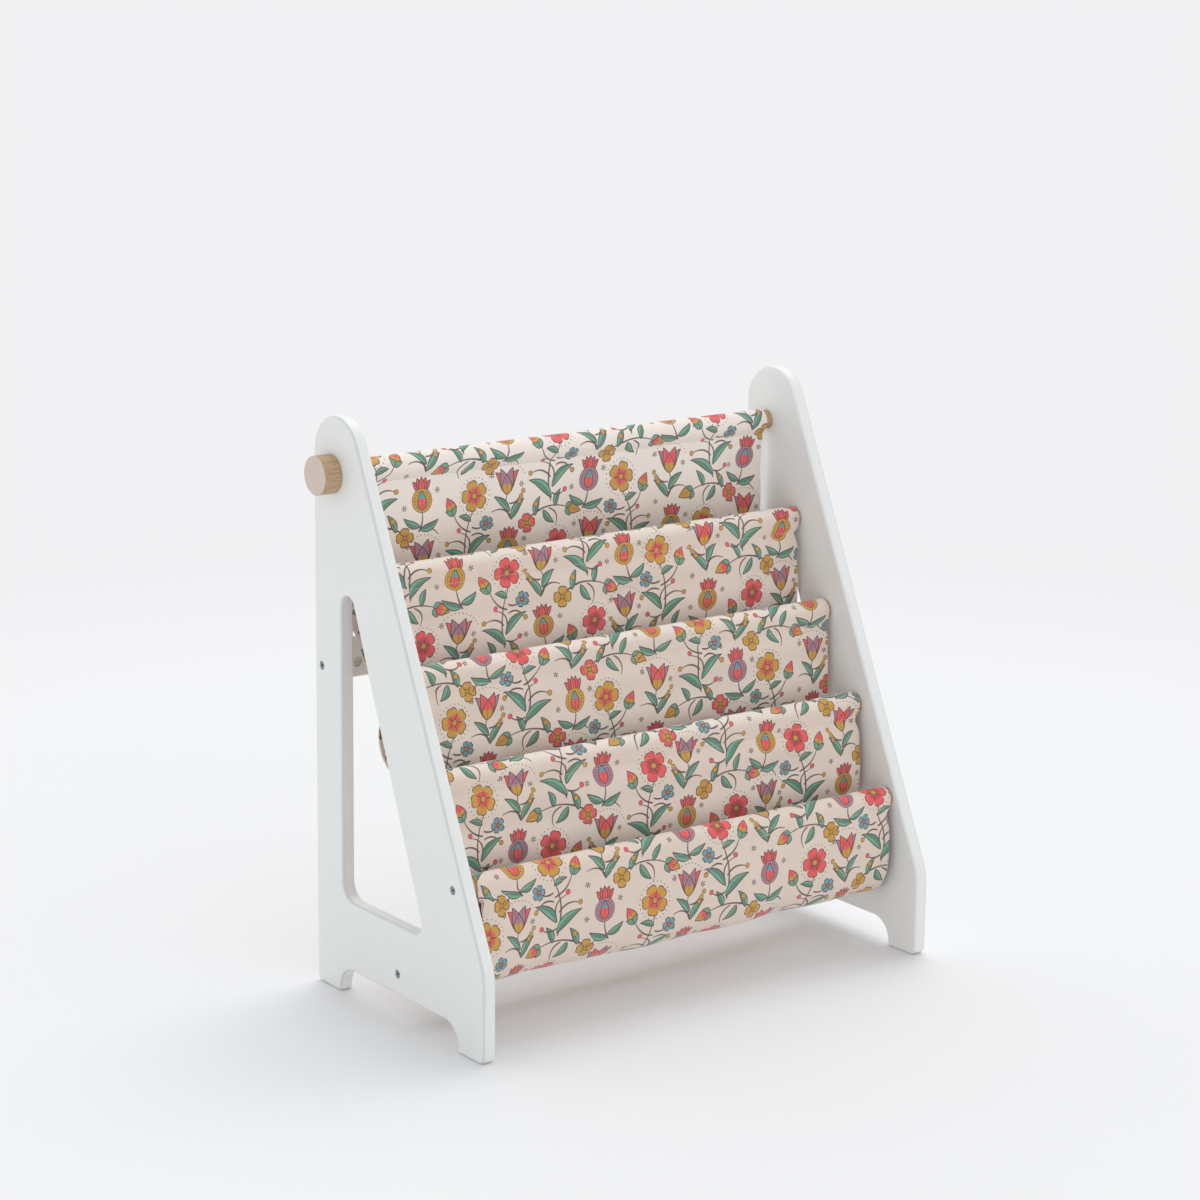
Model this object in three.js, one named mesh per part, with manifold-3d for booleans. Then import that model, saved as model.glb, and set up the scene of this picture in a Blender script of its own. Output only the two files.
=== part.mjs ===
// A sling bookshelf for children: two white side panels, wooden rods between them, and one
// sewn cloth sling that hangs from the rods in four book pockets.
// Millimetres, +Z up. The origin is on the floor, midway between the panels and mid depth.
// +X points at the right panel, and the reader stands on the -Y side.

import * as THREE from 'three';
import { mergeVertices } from 'three/addons/utils/BufferGeometryUtils.js';
import Module from 'manifold-3d';

const wasm = await Module();
wasm.setup();

// Side panels: a leaning triangle with a round top, a window and two feet
const panelHeight = 600;
const panelDepth = 302;
const panelThickness = 15;
const panelSpacing = 544;
const panelTopRadius = 41;
const panelEasedEdge = 2;
const kneeHeight = 91;
const kneeRadius = 60;
const footWidth = 44;
const footOuterRadius = 8;
const footInnerRadius = 3;
const archHeight = 28;
const archRadius = 24;
const rearStileWidth = 49.5;
const windowBottom = 101.5;
const windowTop = 420.5;
const windowFrontSetback = 103.5;
const windowTopRadius = 11.5;
const windowRearRadius = 20;
const windowFrontRadius = 12;

// Wooden rods and how they are set out on the panels
const rodRadius = 10;
const rodChamfer = 1;
const rodSocketDepth = 8;
const topRodDrop = 59;
const topRodSetback = 34;
const secondRodDrop = 158.6;
const secondRodSetback = 86.4;
const lowestRodHeight = 164.5;
const lowestRodSetback = 53;
const stretcherHeight = 50;
const frontRodCount = 4;

// Turned knobs outside the panels, held on the top rod by threaded studs
const knobRadius = 20;
const knobLength = 20;
const knobEasedEdge = 2.5;
const studRadius = 3;
const studKnobDepth = 13;
const studRodDepth = 26;

// Screws into the rods' end grain
const headRadius = 4.25;
const headThickness = 3.5;
const headSink = 0.4;
const shankRadius = 2.5;
const screwLength = 42;
const screwTipLength = 5;
const screwTipRadius = 0.8;

// Rear rail with its bolts, barrel nuts and locating dowels
const railThickness = 15;
const railHeight = 43.5;
const railBottom = 324;
const railSetback = 5.5;
const railEasedEdge = 1.5;
const boltHeightOnRail = 15.7;
const boltLength = 46;
const nutRadius = 5;
const nutLength = 12;
const nutEndDistance = 23;
const dowelPitch = 16;
const dowelRadius = 4;
const dowelChamfer = 0.8;
const dowelPanelDepth = 10;
const dowelRailDepth = 20;

// Cloth sling
const clothSideGap = 7;
const clothThickness = 1.4;
const tunnelEase = 0.6;
const layerEase = 0.7;
const seamDrop = 13.5;
const frontWallLevel = 38;
const bellyRadius = 35;
const bellyDrop = 71;
const bellySetback = 21;
const hemTail = 12;
const foldDepth = 2;
const foldPitch = 265;
const foldLean = 420;
const bellySag = 2.5;

// Shares of a curve's own span that set how softly the cloth turns
const seamHandleShare = 0.3;
const wallHandleShare = 0.7;
const sheetHandleShare = 0.4;
const pressedBellyShare = 0.5;
const firstEntryTurnShare = 0.02;
const entryTurnShare = 0.085;
const lastTouchTurnShare = 0.14;

// Share of a short edge that the arcs at its two ends may take between them
const longestCutShare = 0.98;

// Clearance between pieces, overrun of cutters, and how far a facet may leave a true arc
const fit = 0.3;
const overrun = 1;
const facetError = 0.1;

// Step counts
const easedEdgeSteps = 2;
const tunnelSteps = 12;
const bellySteps = 10;
const sheetSteps = 3;
const wallFootSteps = 2;
const wallSteps = 5;
const hemTailSteps = 3;
const clothSpans = 10;

const sides = [['left', -1], ['right', 1]];
const innerFace = panelSpacing / 2;
const outerFace = innerFace + panelThickness;
const panelBack = panelDepth / 2;
const panelFront = -panelDepth / 2;

// Rods from the top one down. The top two follow the panels' back and top, the lowest one their
// front and foot, and the others stand evenly between.
const topRod = { y: panelBack - topRodSetback, z: panelHeight - topRodDrop };
const secondRod = { y: panelBack - secondRodSetback, z: panelHeight - secondRodDrop };
const lowestRod = { y: panelFront + lowestRodSetback, z: lowestRodHeight };
const frontRods = Array.from({ length: frontRodCount }, (_, index) => {
  const wayDown = index / (frontRodCount - 1);
  return {
    y: THREE.MathUtils.lerp(secondRod.y, lowestRod.y, wayDown),
    z: THREE.MathUtils.lerp(secondRod.z, lowestRod.z, wayDown),
  };
});
const rods = [topRod, ...frontRods];
const stretcher = { y: 0, z: stretcherHeight };
const railCentre = panelBack - railSetback - railThickness / 2;
const railBolt = { y: railCentre, z: railBottom + boltHeightOnRail };
const railDowel = { y: railCentre, z: railBolt.z + dowelPitch };

// Materials
const finish = (color, roughness, metalness) => (
  new THREE.MeshStandardMaterial({ color, roughness, metalness }));
const whiteLacquer = () => finish(0xf2f3f1, 0.42, 0);
const beech = () => finish(0xd9b48c, 0.6, 0);
const zinc = () => finish(0xb9bdbf, 0.35, 1);
const canvas = () => finish(0xecd8c8, 0.9, 0);

const bookshelf = new THREE.Group();

function addPiece(name, geometry, material) {
  const piece = new THREE.Mesh(geometry, material);
  piece.name = name;
  bookshelf.add(piece);
  return piece;
}

// Sides that a round form needs so that no facet leaves its arc by more than the facet error
function arcSteps(radius, sweep = 2 * Math.PI) {
  return Math.max(3, Math.ceil(sweep / (2 * Math.acos(1 - facetError / radius))));
}

// Joins and cuts

// A closed mesh's triangles as a solid, without the slivers that lie on a lathe's axis
function solidOf(geometry) {
  const bare = geometry.clone();
  bare.deleteAttribute('normal');
  bare.deleteAttribute('uv');
  const merged = mergeVertices(bare);
  const corners = merged.index.array;
  const kept = [];
  for (let first = 0; first < corners.length; first += 3) {
    const [a, b, c] = corners.slice(first, first + 3);
    if (a !== b && b !== c && c !== a) {
      kept.push(a, b, c);
    }
  }
  const mesh = new wasm.Mesh({
    numProp: 3,
    vertProperties: new Float32Array(merged.attributes.position.array),
    triVerts: new Uint32Array(kept),
  });
  return new wasm.Manifold(mesh);
}

function geometryOf(solid) {
  const mesh = solid.getMesh();
  const geometry = new THREE.BufferGeometry();
  geometry.setAttribute('position', new THREE.BufferAttribute(new Float32Array(mesh.vertProperties), 3));
  geometry.setIndex(new THREE.BufferAttribute(new Uint32Array(mesh.triVerts), 1));
  geometry.computeVertexNormals();
  return geometry;
}

// The solid left when round holes are drilled; each hole is a geometry in the solid's own frame
function drilled(geometry, holes) {
  const left = holes.reduce((solid, hole) => solid.subtract(solidOf(hole)), solidOf(geometry));
  return geometryOf(left);
}

// A round hole along X from one place to another
function holeAlongX(radius, fromX, toX, { y, z }) {
  const hole = new THREE.CylinderGeometry(radius, radius, Math.abs(toX - fromX), arcSteps(radius));
  hole.rotateZ(Math.PI / 2);
  hole.translate((fromX + toX) / 2, y, z);
  return hole;
}

// A round hole along Y from one place to another
function holeAlongY(radius, fromY, toY, x, z) {
  const hole = new THREE.CylinderGeometry(radius, radius, Math.abs(toY - fromY), arcSteps(radius));
  hole.translate(x, (fromY + toY) / 2, z);
  return hole;
}

// Turned pieces: a profile of [radius, height] pairs, spun about Y
function turned(profile) {
  const widest = Math.max(...profile.map(([radius]) => radius));
  const points = profile.map(([radius, height]) => new THREE.Vector2(radius, height));
  return new THREE.LatheGeometry(points, arcSteps(widest));
}

// Lays a turned piece along X, its foot outside and its top pointing to the middle of the shelf
function pointInwards(piece, side, x, { y, z }) {
  piece.rotation.z = side * Math.PI / 2;
  piece.position.set(x, y, z);
}

// Outlines, as Y and Z

// A closed outline from sharp corners [y, z, radius], each rounded by its own arc. Where two arcs
// would run into each other on a short edge, both are drawn in to fit it.
function roundedOutline(corners) {
  const sharp = corners.map(([y, z]) => new THREE.Vector2(y, z));
  const next = (index) => (index + 1) % corners.length;
  const toNext = sharp.map((corner, index) => sharp[next(index)].clone().sub(corner));
  const toBefore = sharp.map((corner, index) => toNext.at(index - 1).clone().negate());
  const halfAngles = sharp.map((_, index) => {
    const before = toBefore[index].clone().normalize();
    return Math.acos(before.dot(toNext[index].clone().normalize())) / 2;
  });
  const wanted = corners.map(([, , radius], index) => radius / Math.tan(halfAngles[index]));
  const room = wanted.map((cut, index) => (
    toNext[index].length() * longestCutShare / (cut + wanted[next(index)])));
  const cuts = wanted.map((cut, index) => cut * Math.min(1, room[index], room.at(index - 1)));
  return sharp.flatMap((corner, index) => {
    const radius = cuts[index] * Math.tan(halfAngles[index]);
    const before = toBefore[index].clone().normalize();
    const after = toNext[index].clone().normalize();
    const centre = before.clone().add(after).setLength(radius / Math.sin(halfAngles[index])).add(corner);
    const start = before.setLength(cuts[index]).add(corner).sub(centre);
    const end = after.setLength(cuts[index]).add(corner).sub(centre);
    const sweep = Math.atan2(start.cross(end), start.dot(end));
    const steps = arcSteps(radius, Math.abs(sweep));
    return Array.from({ length: steps + 1 }, (_, step) => (
      start.clone().rotateAround(new THREE.Vector2(), sweep * step / steps).add(centre)));
  });
}

// Height of the sharp tip where an upright back meets a front edge that leans from a low corner
// and just touches a round top
function sharpTip(front, bottom, back, top, topRadius) {
  const rise = top - topRadius - bottom;
  const run = back - topRadius - front;
  const lean = Math.atan2(rise, run) + Math.asin(topRadius / Math.hypot(rise, run));
  return bottom + (back - front) * Math.tan(lean);
}

function panelOutline() {
  const tip = sharpTip(panelFront, kneeHeight, panelBack, panelHeight, panelTopRadius);
  return roundedOutline([
    [panelBack, 0, footOuterRadius],
    [panelBack, tip, panelTopRadius],
    [panelFront, kneeHeight, kneeRadius],
    [panelFront, 0, footOuterRadius],
    [panelFront + footWidth, 0, footInnerRadius],
    [panelFront + footWidth, archHeight, archRadius],
    [panelBack - footWidth, archHeight, archRadius],
    [panelBack - footWidth, 0, footInnerRadius],
  ]);
}

function windowOutline() {
  const front = panelFront + windowFrontSetback;
  const back = panelBack - rearStileWidth;
  const tip = sharpTip(front, windowBottom, back, windowTop, windowTopRadius);
  return roundedOutline([
    [back, windowBottom, windowRearRadius],
    [back, tip, windowTopRadius],
    [front, windowBottom, windowFrontRadius],
  ]);
}

// Turns a shape drawn as Y and Z, with its thickness along Z, so that the thickness lies along X
const shapeToShelf = new THREE.Matrix4().makeBasis(
  new THREE.Vector3(0, 1, 0),
  new THREE.Vector3(0, 0, 1),
  new THREE.Vector3(1, 0, 0),
);

// A board of the given outline, with rounded edges on both faces, lying from x to x + thickness
function board(outline, cutOuts, x, thickness, easedEdge) {
  const shape = new THREE.Shape(outline);
  shape.holes = cutOuts.map((cutOut) => new THREE.Path(cutOut));
  const geometry = new THREE.ExtrudeGeometry(shape, {
    depth: thickness - 2 * easedEdge,
    bevelEnabled: true,
    bevelThickness: easedEdge,
    bevelSize: easedEdge,
    bevelOffset: -easedEdge,
    bevelSegments: easedEdgeSteps,
  });
  geometry.translate(0, 0, easedEdge);
  geometry.applyMatrix4(shapeToShelf);
  geometry.translate(x, 0, 0);
  return geometry;
}

// Side panels

// The panel's holes: sockets for the rods, and bores for the studs, screws, bolts and dowels
function panelHoles(side) {
  const inside = side * (innerFace - overrun);
  const outside = side * (outerFace + overrun);
  const socketFloor = side * (innerFace + rodSocketDepth + fit);
  const headFloor = side * (outerFace - headSink - headThickness - fit);
  const sockets = [...rods, stretcher].map((rod) => holeAlongX(rodRadius + fit, inside, socketFloor, rod));
  const screwBores = [lowestRod, stretcher, railBolt].flatMap((place) => [
    holeAlongX(shankRadius + fit, inside, outside, place),
    holeAlongX(headRadius + fit, headFloor, outside, place),
  ]);
  const studBore = holeAlongX(studRadius + fit, inside, outside, topRod);
  const dowelFloor = side * (innerFace + dowelPanelDepth + fit);
  const dowelHole = holeAlongX(dowelRadius + fit, inside, dowelFloor, railDowel);
  return [...sockets, ...screwBores, studBore, dowelHole];
}

for (const [sideName, side] of sides) {
  const leftmost = side < 0 ? -outerFace : innerFace;
  const blank = board(panelOutline(), [windowOutline()], leftmost, panelThickness, panelEasedEdge);
  addPiece(`side_panel_${sideName}`, drilled(blank, panelHoles(side)), whiteLacquer());
}

// Rods

const socketEnd = innerFace + rodSocketDepth;
const screwRodDepth = screwLength - (outerFace - headSink - socketEnd);

// A rod that reaches into its sockets, with a bore in each end where something is screwed in
function rod(name, place, boreRadius, boreDepth) {
  const halfLength = socketEnd;
  const stock = turned([
    [0, -halfLength],
    [rodRadius - rodChamfer, -halfLength],
    [rodRadius, rodChamfer - halfLength],
    [rodRadius, halfLength - rodChamfer],
    [rodRadius - rodChamfer, halfLength],
    [0, halfLength],
  ]);
  const boredSides = boreRadius ? [-1, 1] : [];
  const bores = boredSides.map((side) => (
    holeAlongY(boreRadius, side * (halfLength - boreDepth), side * (halfLength + overrun), 0, 0)));
  const piece = addPiece(name, drilled(stock, bores), beech());
  piece.rotation.z = -Math.PI / 2;
  piece.position.set(0, place.y, place.z);
}

rod('top_rod', topRod, studRadius + fit, studRodDepth + fit);
frontRods.forEach((place, index) => {
  const isLowest = index === frontRodCount - 1;
  rod(`front_rod_${index + 2}`, place, isLowest ? shankRadius + fit : 0, screwRodDepth + fit);
});
rod('lower_stretcher', stretcher, shankRadius + fit, screwRodDepth + fit);

// Knobs and studs

function knobGeometry() {
  const edge = Array.from({ length: easedEdgeSteps + 1 }, (_, step) => {
    const turn = (Math.PI / 2) * (step / easedEdgeSteps);
    return [
      knobRadius - knobEasedEdge * (1 - Math.sin(turn)),
      knobEasedEdge * (1 - Math.cos(turn)),
    ];
  });
  const stock = turned([[0, 0], ...edge, [knobRadius, knobLength], [0, knobLength]]);
  const bore = holeAlongY(studRadius + fit, knobLength - studKnobDepth - fit, knobLength + overrun, 0, 0);
  return drilled(stock, [bore]);
}

const studTop = outerFace + fit + studKnobDepth;
const studLength = studTop - (socketEnd - studRodDepth);
const studProfile = [[0, 0], [studRadius, 0], [studRadius, studLength], [0, studLength]];
for (const [sideName, side] of sides) {
  const knob = addPiece(`knob_${sideName}`, knobGeometry(), beech());
  pointInwards(knob, side, side * (outerFace + fit + knobLength), topRod);
  const stud = addPiece(`knob_stud_${sideName}`, turned(studProfile), zinc());
  pointInwards(stud, side, side * studTop, topRod);
}

// Screws and bolts, head first

function screwGeometry() {
  return turned([
    [0, 0],
    [headRadius, 0],
    [headRadius, headThickness],
    [shankRadius, headThickness],
    [shankRadius, screwLength - screwTipLength],
    [screwTipRadius, screwLength],
    [0, screwLength],
  ]);
}

function boltGeometry() {
  return turned([
    [0, 0],
    [headRadius, 0],
    [headRadius, headThickness],
    [shankRadius, headThickness],
    [shankRadius, boltLength],
    [0, boltLength],
  ]);
}

for (const [sideName, side] of sides) {
  const headFace = side * (outerFace - headSink);
  const fasteners = [
    [`rod_screw_${sideName}`, screwGeometry(), lowestRod],
    [`stretcher_screw_${sideName}`, screwGeometry(), stretcher],
    [`rail_bolt_${sideName}`, boltGeometry(), railBolt],
  ];
  for (const [name, geometry, place] of fasteners) {
    pointInwards(addPiece(name, geometry, zinc()), side, headFace, place);
  }
}

// Rear rail, its barrel nuts and its dowels

const railEnd = innerFace - fit;
const railFront = railCentre - railThickness / 2;
const railBack = railCentre + railThickness / 2;
const railTop = railBottom + railHeight;
const nutBack = railCentre + nutLength / 2;
const nutX = innerFace - nutEndDistance;

function railGeometry() {
  const section = new THREE.Shape(roundedOutline([
    [railFront, railBottom, railEasedEdge],
    [railBack, railBottom, railEasedEdge],
    [railBack, railTop, railEasedEdge],
    [railFront, railTop, railEasedEdge],
  ]));
  const geometry = new THREE.ExtrudeGeometry(section, { depth: 2 * railEnd, bevelEnabled: false });
  geometry.applyMatrix4(shapeToShelf);
  geometry.translate(-railEnd, 0, 0);
  const boltTip = outerFace - headSink - boltLength;
  const dowelTip = innerFace - dowelRailDepth;
  const holes = sides.flatMap(([, side]) => {
    const outside = side * (railEnd + overrun);
    return [
      holeAlongX(shankRadius + fit, side * (boltTip - fit), outside, railBolt),
      holeAlongX(dowelRadius + fit, side * (dowelTip - fit), outside, railDowel),
      holeAlongY(nutRadius + fit, railFront - overrun, nutBack + fit, side * nutX, railBolt.z),
    ];
  });
  return drilled(geometry, holes);
}

addPiece('rear_rail', railGeometry(), whiteLacquer());

for (const [sideName, side] of sides) {
  const blank = new THREE.CylinderGeometry(nutRadius, nutRadius, nutLength, arcSteps(nutRadius));
  const threadHole = holeAlongX(shankRadius + fit, -nutRadius - overrun, nutRadius + overrun, { y: 0, z: 0 });
  const nut = addPiece(`barrel_nut_${sideName}`, drilled(blank, [threadHole]), zinc());
  nut.position.set(side * nutX, railCentre, railBolt.z);

  const dowelLength = dowelPanelDepth + dowelRailDepth;
  const dowel = addPiece(`rail_dowel_${sideName}`, turned([
    [0, 0],
    [dowelRadius - dowelChamfer, 0],
    [dowelRadius, dowelChamfer],
    [dowelRadius, dowelLength - dowelChamfer],
    [dowelRadius - dowelChamfer, dowelLength],
    [0, dowelLength],
  ]), beech());
  pointInwards(dowel, side, side * (innerFace + dowelPanelDepth), railDowel);
}

// Cloth sling. One long strip, folded over each rod and stitched through just below it, so that
// a pocket hangs between each two rods. It is drawn as the centre line of its thickness, as Y
// and Z, from the top rod's seam down to the lowest rod's hem.

const clothWidth = panelSpacing - 2 * clothSideGap;
const halfCloth = clothThickness / 2;
const layerPitch = clothThickness + layerEase;
const tunnelRadius = rodRadius + tunnelEase + halfCloth;

const at = (place, y, z) => new THREE.Vector2(place.y + y, place.z + z);

// Points of several curves, one after the other, without the repeated joints
function traced(...stretches) {
  const points = [];
  for (const [curve, steps] of stretches) {
    points.push(...curve.getPoints(steps).slice(points.length ? 1 : 0));
  }
  return points;
}

// A smooth turn from one place and heading to another, with handles a share of the span
function turn(from, fromHeading, to, toHeading, handleShare) {
  const handle = from.distanceTo(to) * handleShare;
  return new THREE.CubicBezierCurve(
    from,
    from.clone().addScaledVector(fromHeading, handle),
    to.clone().addScaledVector(toHeading, -handle),
    to,
  );
}

// A line of points moved sideways, to the right of the way it runs, with mitred corners
function offsetLine(points, distance) {
  const headings = points.slice(1).map((point, index) => point.clone().sub(points[index]).normalize());
  return points.map((point, index) => {
    const arriving = headings[Math.max(index - 1, 0)];
    const leaving = headings[Math.min(index, headings.length - 1)];
    const along = arriving.clone().add(leaving).normalize();
    const mitre = distance / along.dot(leaving);
    return point.clone().add(new THREE.Vector2(along.y, -along.x).multiplyScalar(mitre));
  });
}

const upwards = new THREE.Vector2(0, 1);
const downwards = new THREE.Vector2(0, -1);

// The tunnel round a rod, from its rear layer at the seam, over the rod, to its front layer
function tunnelLine(place) {
  const seamReach = Math.hypot(layerPitch / 2, seamDrop);
  const seamAngle = Math.atan2(-seamDrop, layerPitch / 2);
  const touch = seamAngle + Math.acos(tunnelRadius / seamReach);
  const arc = new THREE.EllipseCurve(place.y, place.z, tunnelRadius, tunnelRadius, touch, Math.PI - touch);
  return [
    at(place, layerPitch / 2, -seamDrop),
    ...arc.getPoints(tunnelSteps),
    at(place, -layerPitch / 2, -seamDrop),
  ];
}

// The foot of a pocket's front wall, where it leaves the belly and stands upright
function frontWallFoot(place) {
  const y = bellySetback - bellyRadius;
  return new THREE.LineCurve(at(place, y, -bellyDrop), at(place, y, -frontWallLevel));
}

// The front wall of a pocket, from its belly up to the seam under the rod that carries it
function frontWallLine(place) {
  const foot = frontWallFoot(place);
  const wallTop = foot.v2;
  const seam = at(place, layerPitch / 2, -seamDrop);
  const drop = wallTop.distanceTo(seam);
  const bend = new THREE.CubicBezierCurve(
    wallTop,
    wallTop.clone().addScaledVector(upwards, drop * wallHandleShare),
    seam.clone().addScaledVector(downwards, drop * seamHandleShare),
    seam,
  );
  return traced([foot, wallFootSteps], [bend, wallSteps]);
}

// The last front wall, which has nothing before it and runs straight on over its rod
function lastWallLine(place) {
  const foot = frontWallFoot(place);
  const turnAtTouch = Math.PI * (1 + lastTouchTurnShare);
  const touch = at(place, tunnelRadius * Math.cos(turnAtTouch), tunnelRadius * Math.sin(turnAtTouch));
  const heading = new THREE.Vector2(Math.sin(turnAtTouch), -Math.cos(turnAtTouch));
  const overRod = turn(foot.v2, upwards, touch, heading, sheetHandleShare);
  return traced([foot, wallFootSteps], [overRod, wallSteps]);
}

// The hem on the lowest rod: over the rod from the front, and down behind the last front wall
function hemLine(place) {
  const tail = offsetLine(lastWallLine(place), layerPitch).slice(-1 - wallSteps, -1).reverse();
  const fromRod = tail[0].clone().sub(at(place, 0, 0));
  const rearTouch = fromRod.angle() - 2 * Math.PI + Math.acos(tunnelRadius / fromRod.length());
  const frontTouch = Math.PI * (1 + lastTouchTurnShare);
  const arc = new THREE.EllipseCurve(
    place.y, place.z, tunnelRadius, tunnelRadius, frontTouch, rearTouch, true);
  return [...arc.getPoints(tunnelSteps), ...tail.slice(0, hemTailSteps)];
}

// The round belly of a pocket, entered from behind at a small turn above level
function bellyLine(place, entry) {
  const centre = at(place, bellySetback, -bellyDrop);
  const arc = new THREE.EllipseCurve(centre.x, centre.y, bellyRadius, bellyRadius, entry, -Math.PI, true);
  return arc.getPoints(bellySteps);
}

// The back sheet of a pocket, from the seam under its own rod down to the belly. Below the top
// rod it hangs free. Below the others it lies on the front wall of the pocket behind it.
function backSheetLine(index, entry) {
  const place = rods[index];
  const bellyStart = bellyLine(rods[index + 1], entry)[0];
  const bellyHeading = new THREE.Vector2(Math.sin(entry), -Math.cos(entry));
  if (index === 0) {
    const seam = at(place, -layerPitch / 2, -seamDrop);
    return traced([turn(seam, downwards, bellyStart, bellyHeading, sheetHandleShare), wallSteps]);
  }
  const wall = offsetLine(frontWallLine(place), -layerPitch).reverse();
  const pressedDrop = bellyDrop + bellyRadius * pressedBellyShare;
  const pressedTo = at(place, bellySetback - bellyRadius - layerPitch, -pressedDrop);
  return [
    ...wall,
    ...traced([turn(pressedTo, downwards, bellyStart, bellyHeading, sheetHandleShare), sheetSteps]),
  ];
}

// Shallow folds and the belly's sag, which grow with the distance from the nearest rod
function hung(x, point) {
  const nearest = Math.min(...rods.map((place) => Math.hypot(point.x - place.y, point.y - place.z)));
  const loose = THREE.MathUtils.smoothstep(nearest, seamDrop, bellyDrop);
  const fold = Math.sin(2 * Math.PI * (x / foldPitch + point.y / foldLean));
  const sag = 1 - (2 * x / clothWidth) ** 2;
  return [x, point.x + foldDepth * loose * fold, point.y - bellySag * loose * sag];
}

// A strip of cloth of full width along a centre line, closed all round
function clothStrip(line) {
  const front = offsetLine(line, halfCloth);
  const rear = offsetLine(line, -halfCloth);
  const loop = [...front, ...rear.reverse()];
  const positions = [];
  for (let span = 0; span <= clothSpans; span += 1) {
    const x = clothWidth * (span / clothSpans) - clothWidth / 2;
    loop.forEach((point) => positions.push(...hung(x, point)));
  }
  const corners = [];
  const vertex = (span, step) => span * loop.length + step % loop.length;
  for (let span = 0; span < clothSpans; span += 1) {
    for (let step = 0; step < loop.length; step += 1) {
      const [a, b] = [vertex(span, step), vertex(span, step + 1)];
      const [c, d] = [vertex(span + 1, step + 1), vertex(span + 1, step)];
      corners.push(a, b, c, a, c, d);
    }
  }
  for (let step = 0; step < line.length - 1; step += 1) {
    const across = loop.length - 1 - step;
    const rim = [step, across, across - 1, step + 1];
    const [a, b, c, d] = rim.map((place) => vertex(0, place));
    corners.push(a, b, c, a, c, d);
    const [e, f, g, h] = rim.reverse().map((place) => vertex(clothSpans, place));
    corners.push(e, f, g, e, g, h);
  }
  const geometry = new THREE.BufferGeometry();
  geometry.setAttribute('position', new THREE.Float32BufferAttribute(positions, 3));
  geometry.setIndex(corners);
  geometry.computeVertexNormals();
  return geometry;
}

// A line cut short at its end, so that it stays clear of the slanted end of the next piece of cloth
function endedShort(line) {
  const last = line.at(-1).clone();
  const back = line.at(-2).clone().sub(last).setLength(fit + halfCloth);
  return [...line.slice(0, -1), last.add(back)];
}

// The free end of the cloth on the top rod, which hangs behind the back sheet
function topTail() {
  return at(topRod, layerPitch / 2, -seamDrop - hemTail);
}

frontRods.forEach((frontRod, index) => {
  const entry = 2 * Math.PI * (index === 0 ? firstEntryTurnShare : entryTurnShare);
  const wallLine = index === frontRodCount - 1 ? lastWallLine : frontWallLine;
  const tier = [
    ...(index === 0 ? [topTail()] : []),
    ...tunnelLine(rods[index]),
    ...backSheetLine(index, entry).slice(1),
    ...bellyLine(frontRod, entry).slice(1),
    ...wallLine(frontRod).slice(1),
  ];
  addPiece(`sling_tier_${index + 1}`, clothStrip(endedShort(tier)), canvas());
});
addPiece(`sling_hem_${rods.length}`, clothStrip(hemLine(lowestRod)), canvas());

export default bookshelf;
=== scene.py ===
# %% [markdown]
# A sling bookshelf for children, dressed in Blender
#
# The shelf is two white lacquered side panels, round beech rods between them, and one long
# strip of printed cotton that hangs from the rods in four book pockets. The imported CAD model
# says where every piece is. This notebook adds what CAD leaves plain: round edges, grain,
# lacquer, screw recesses, the hang of the cloth, its stitches and its print.

import math

import bmesh
import bpy
import numpy as np
from mathutils import Matrix, Vector


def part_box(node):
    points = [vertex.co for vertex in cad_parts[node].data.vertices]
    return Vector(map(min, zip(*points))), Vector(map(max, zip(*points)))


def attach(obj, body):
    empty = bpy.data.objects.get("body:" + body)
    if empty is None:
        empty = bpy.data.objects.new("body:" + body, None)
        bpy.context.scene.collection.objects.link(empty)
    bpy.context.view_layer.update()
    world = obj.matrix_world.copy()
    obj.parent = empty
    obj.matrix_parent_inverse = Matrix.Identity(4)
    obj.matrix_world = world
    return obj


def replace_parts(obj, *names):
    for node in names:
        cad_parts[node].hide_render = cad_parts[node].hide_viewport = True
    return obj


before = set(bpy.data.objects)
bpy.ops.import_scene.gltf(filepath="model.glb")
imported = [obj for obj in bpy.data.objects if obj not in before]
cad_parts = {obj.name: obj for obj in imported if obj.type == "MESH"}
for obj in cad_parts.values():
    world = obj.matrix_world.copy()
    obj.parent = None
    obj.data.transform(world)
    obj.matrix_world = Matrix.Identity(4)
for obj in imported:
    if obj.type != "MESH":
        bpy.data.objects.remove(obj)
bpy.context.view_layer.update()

print("CAD nodes:", len(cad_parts))

# %% [markdown]
# Every place in this notebook comes from the boxes of the CAD nodes. A rod's box gives its
# axis, its length and its radius, so the dressed pieces land where the solids are.

# %% Places read from the frame
ROD_NAMES = ["top_rod", "front_rod_2", "front_rod_3", "front_rod_4", "front_rod_5"]


def middle(node):
    low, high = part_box(node)
    return (low + high) / 2


rod_places = [middle(name) for name in ROD_NAMES]
rod_low, rod_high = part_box("top_rod")
rod_radius = (rod_high.z - rod_low.z) / 2
rod_end = rod_high.x
panel_low, panel_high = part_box("side_panel_right")
inner_face = panel_low.x
outer_face = panel_high.x

print("rod radius", round(rod_radius, 4), "inner faces at", round(inner_face, 4))

# %% [markdown]
# The camera stands where the photographer stood. Its place and angles were worked out from
# the edges of the two panels, and its lens from their perspective.

# %% Camera
CAMERA_PLACE = (-2.0155, -2.6442, 1.1856)
CAMERA_YAW = math.radians(36.77)
CAMERA_PITCH = math.radians(13.35)
CAMERA_ROLL = math.radians(0.68)
LENS_MM = 99.79
SENSOR_MM = 36


def new_object(name, data):
    made = bpy.data.objects.new(name, data)
    bpy.context.scene.collection.objects.link(made)
    return made


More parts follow.
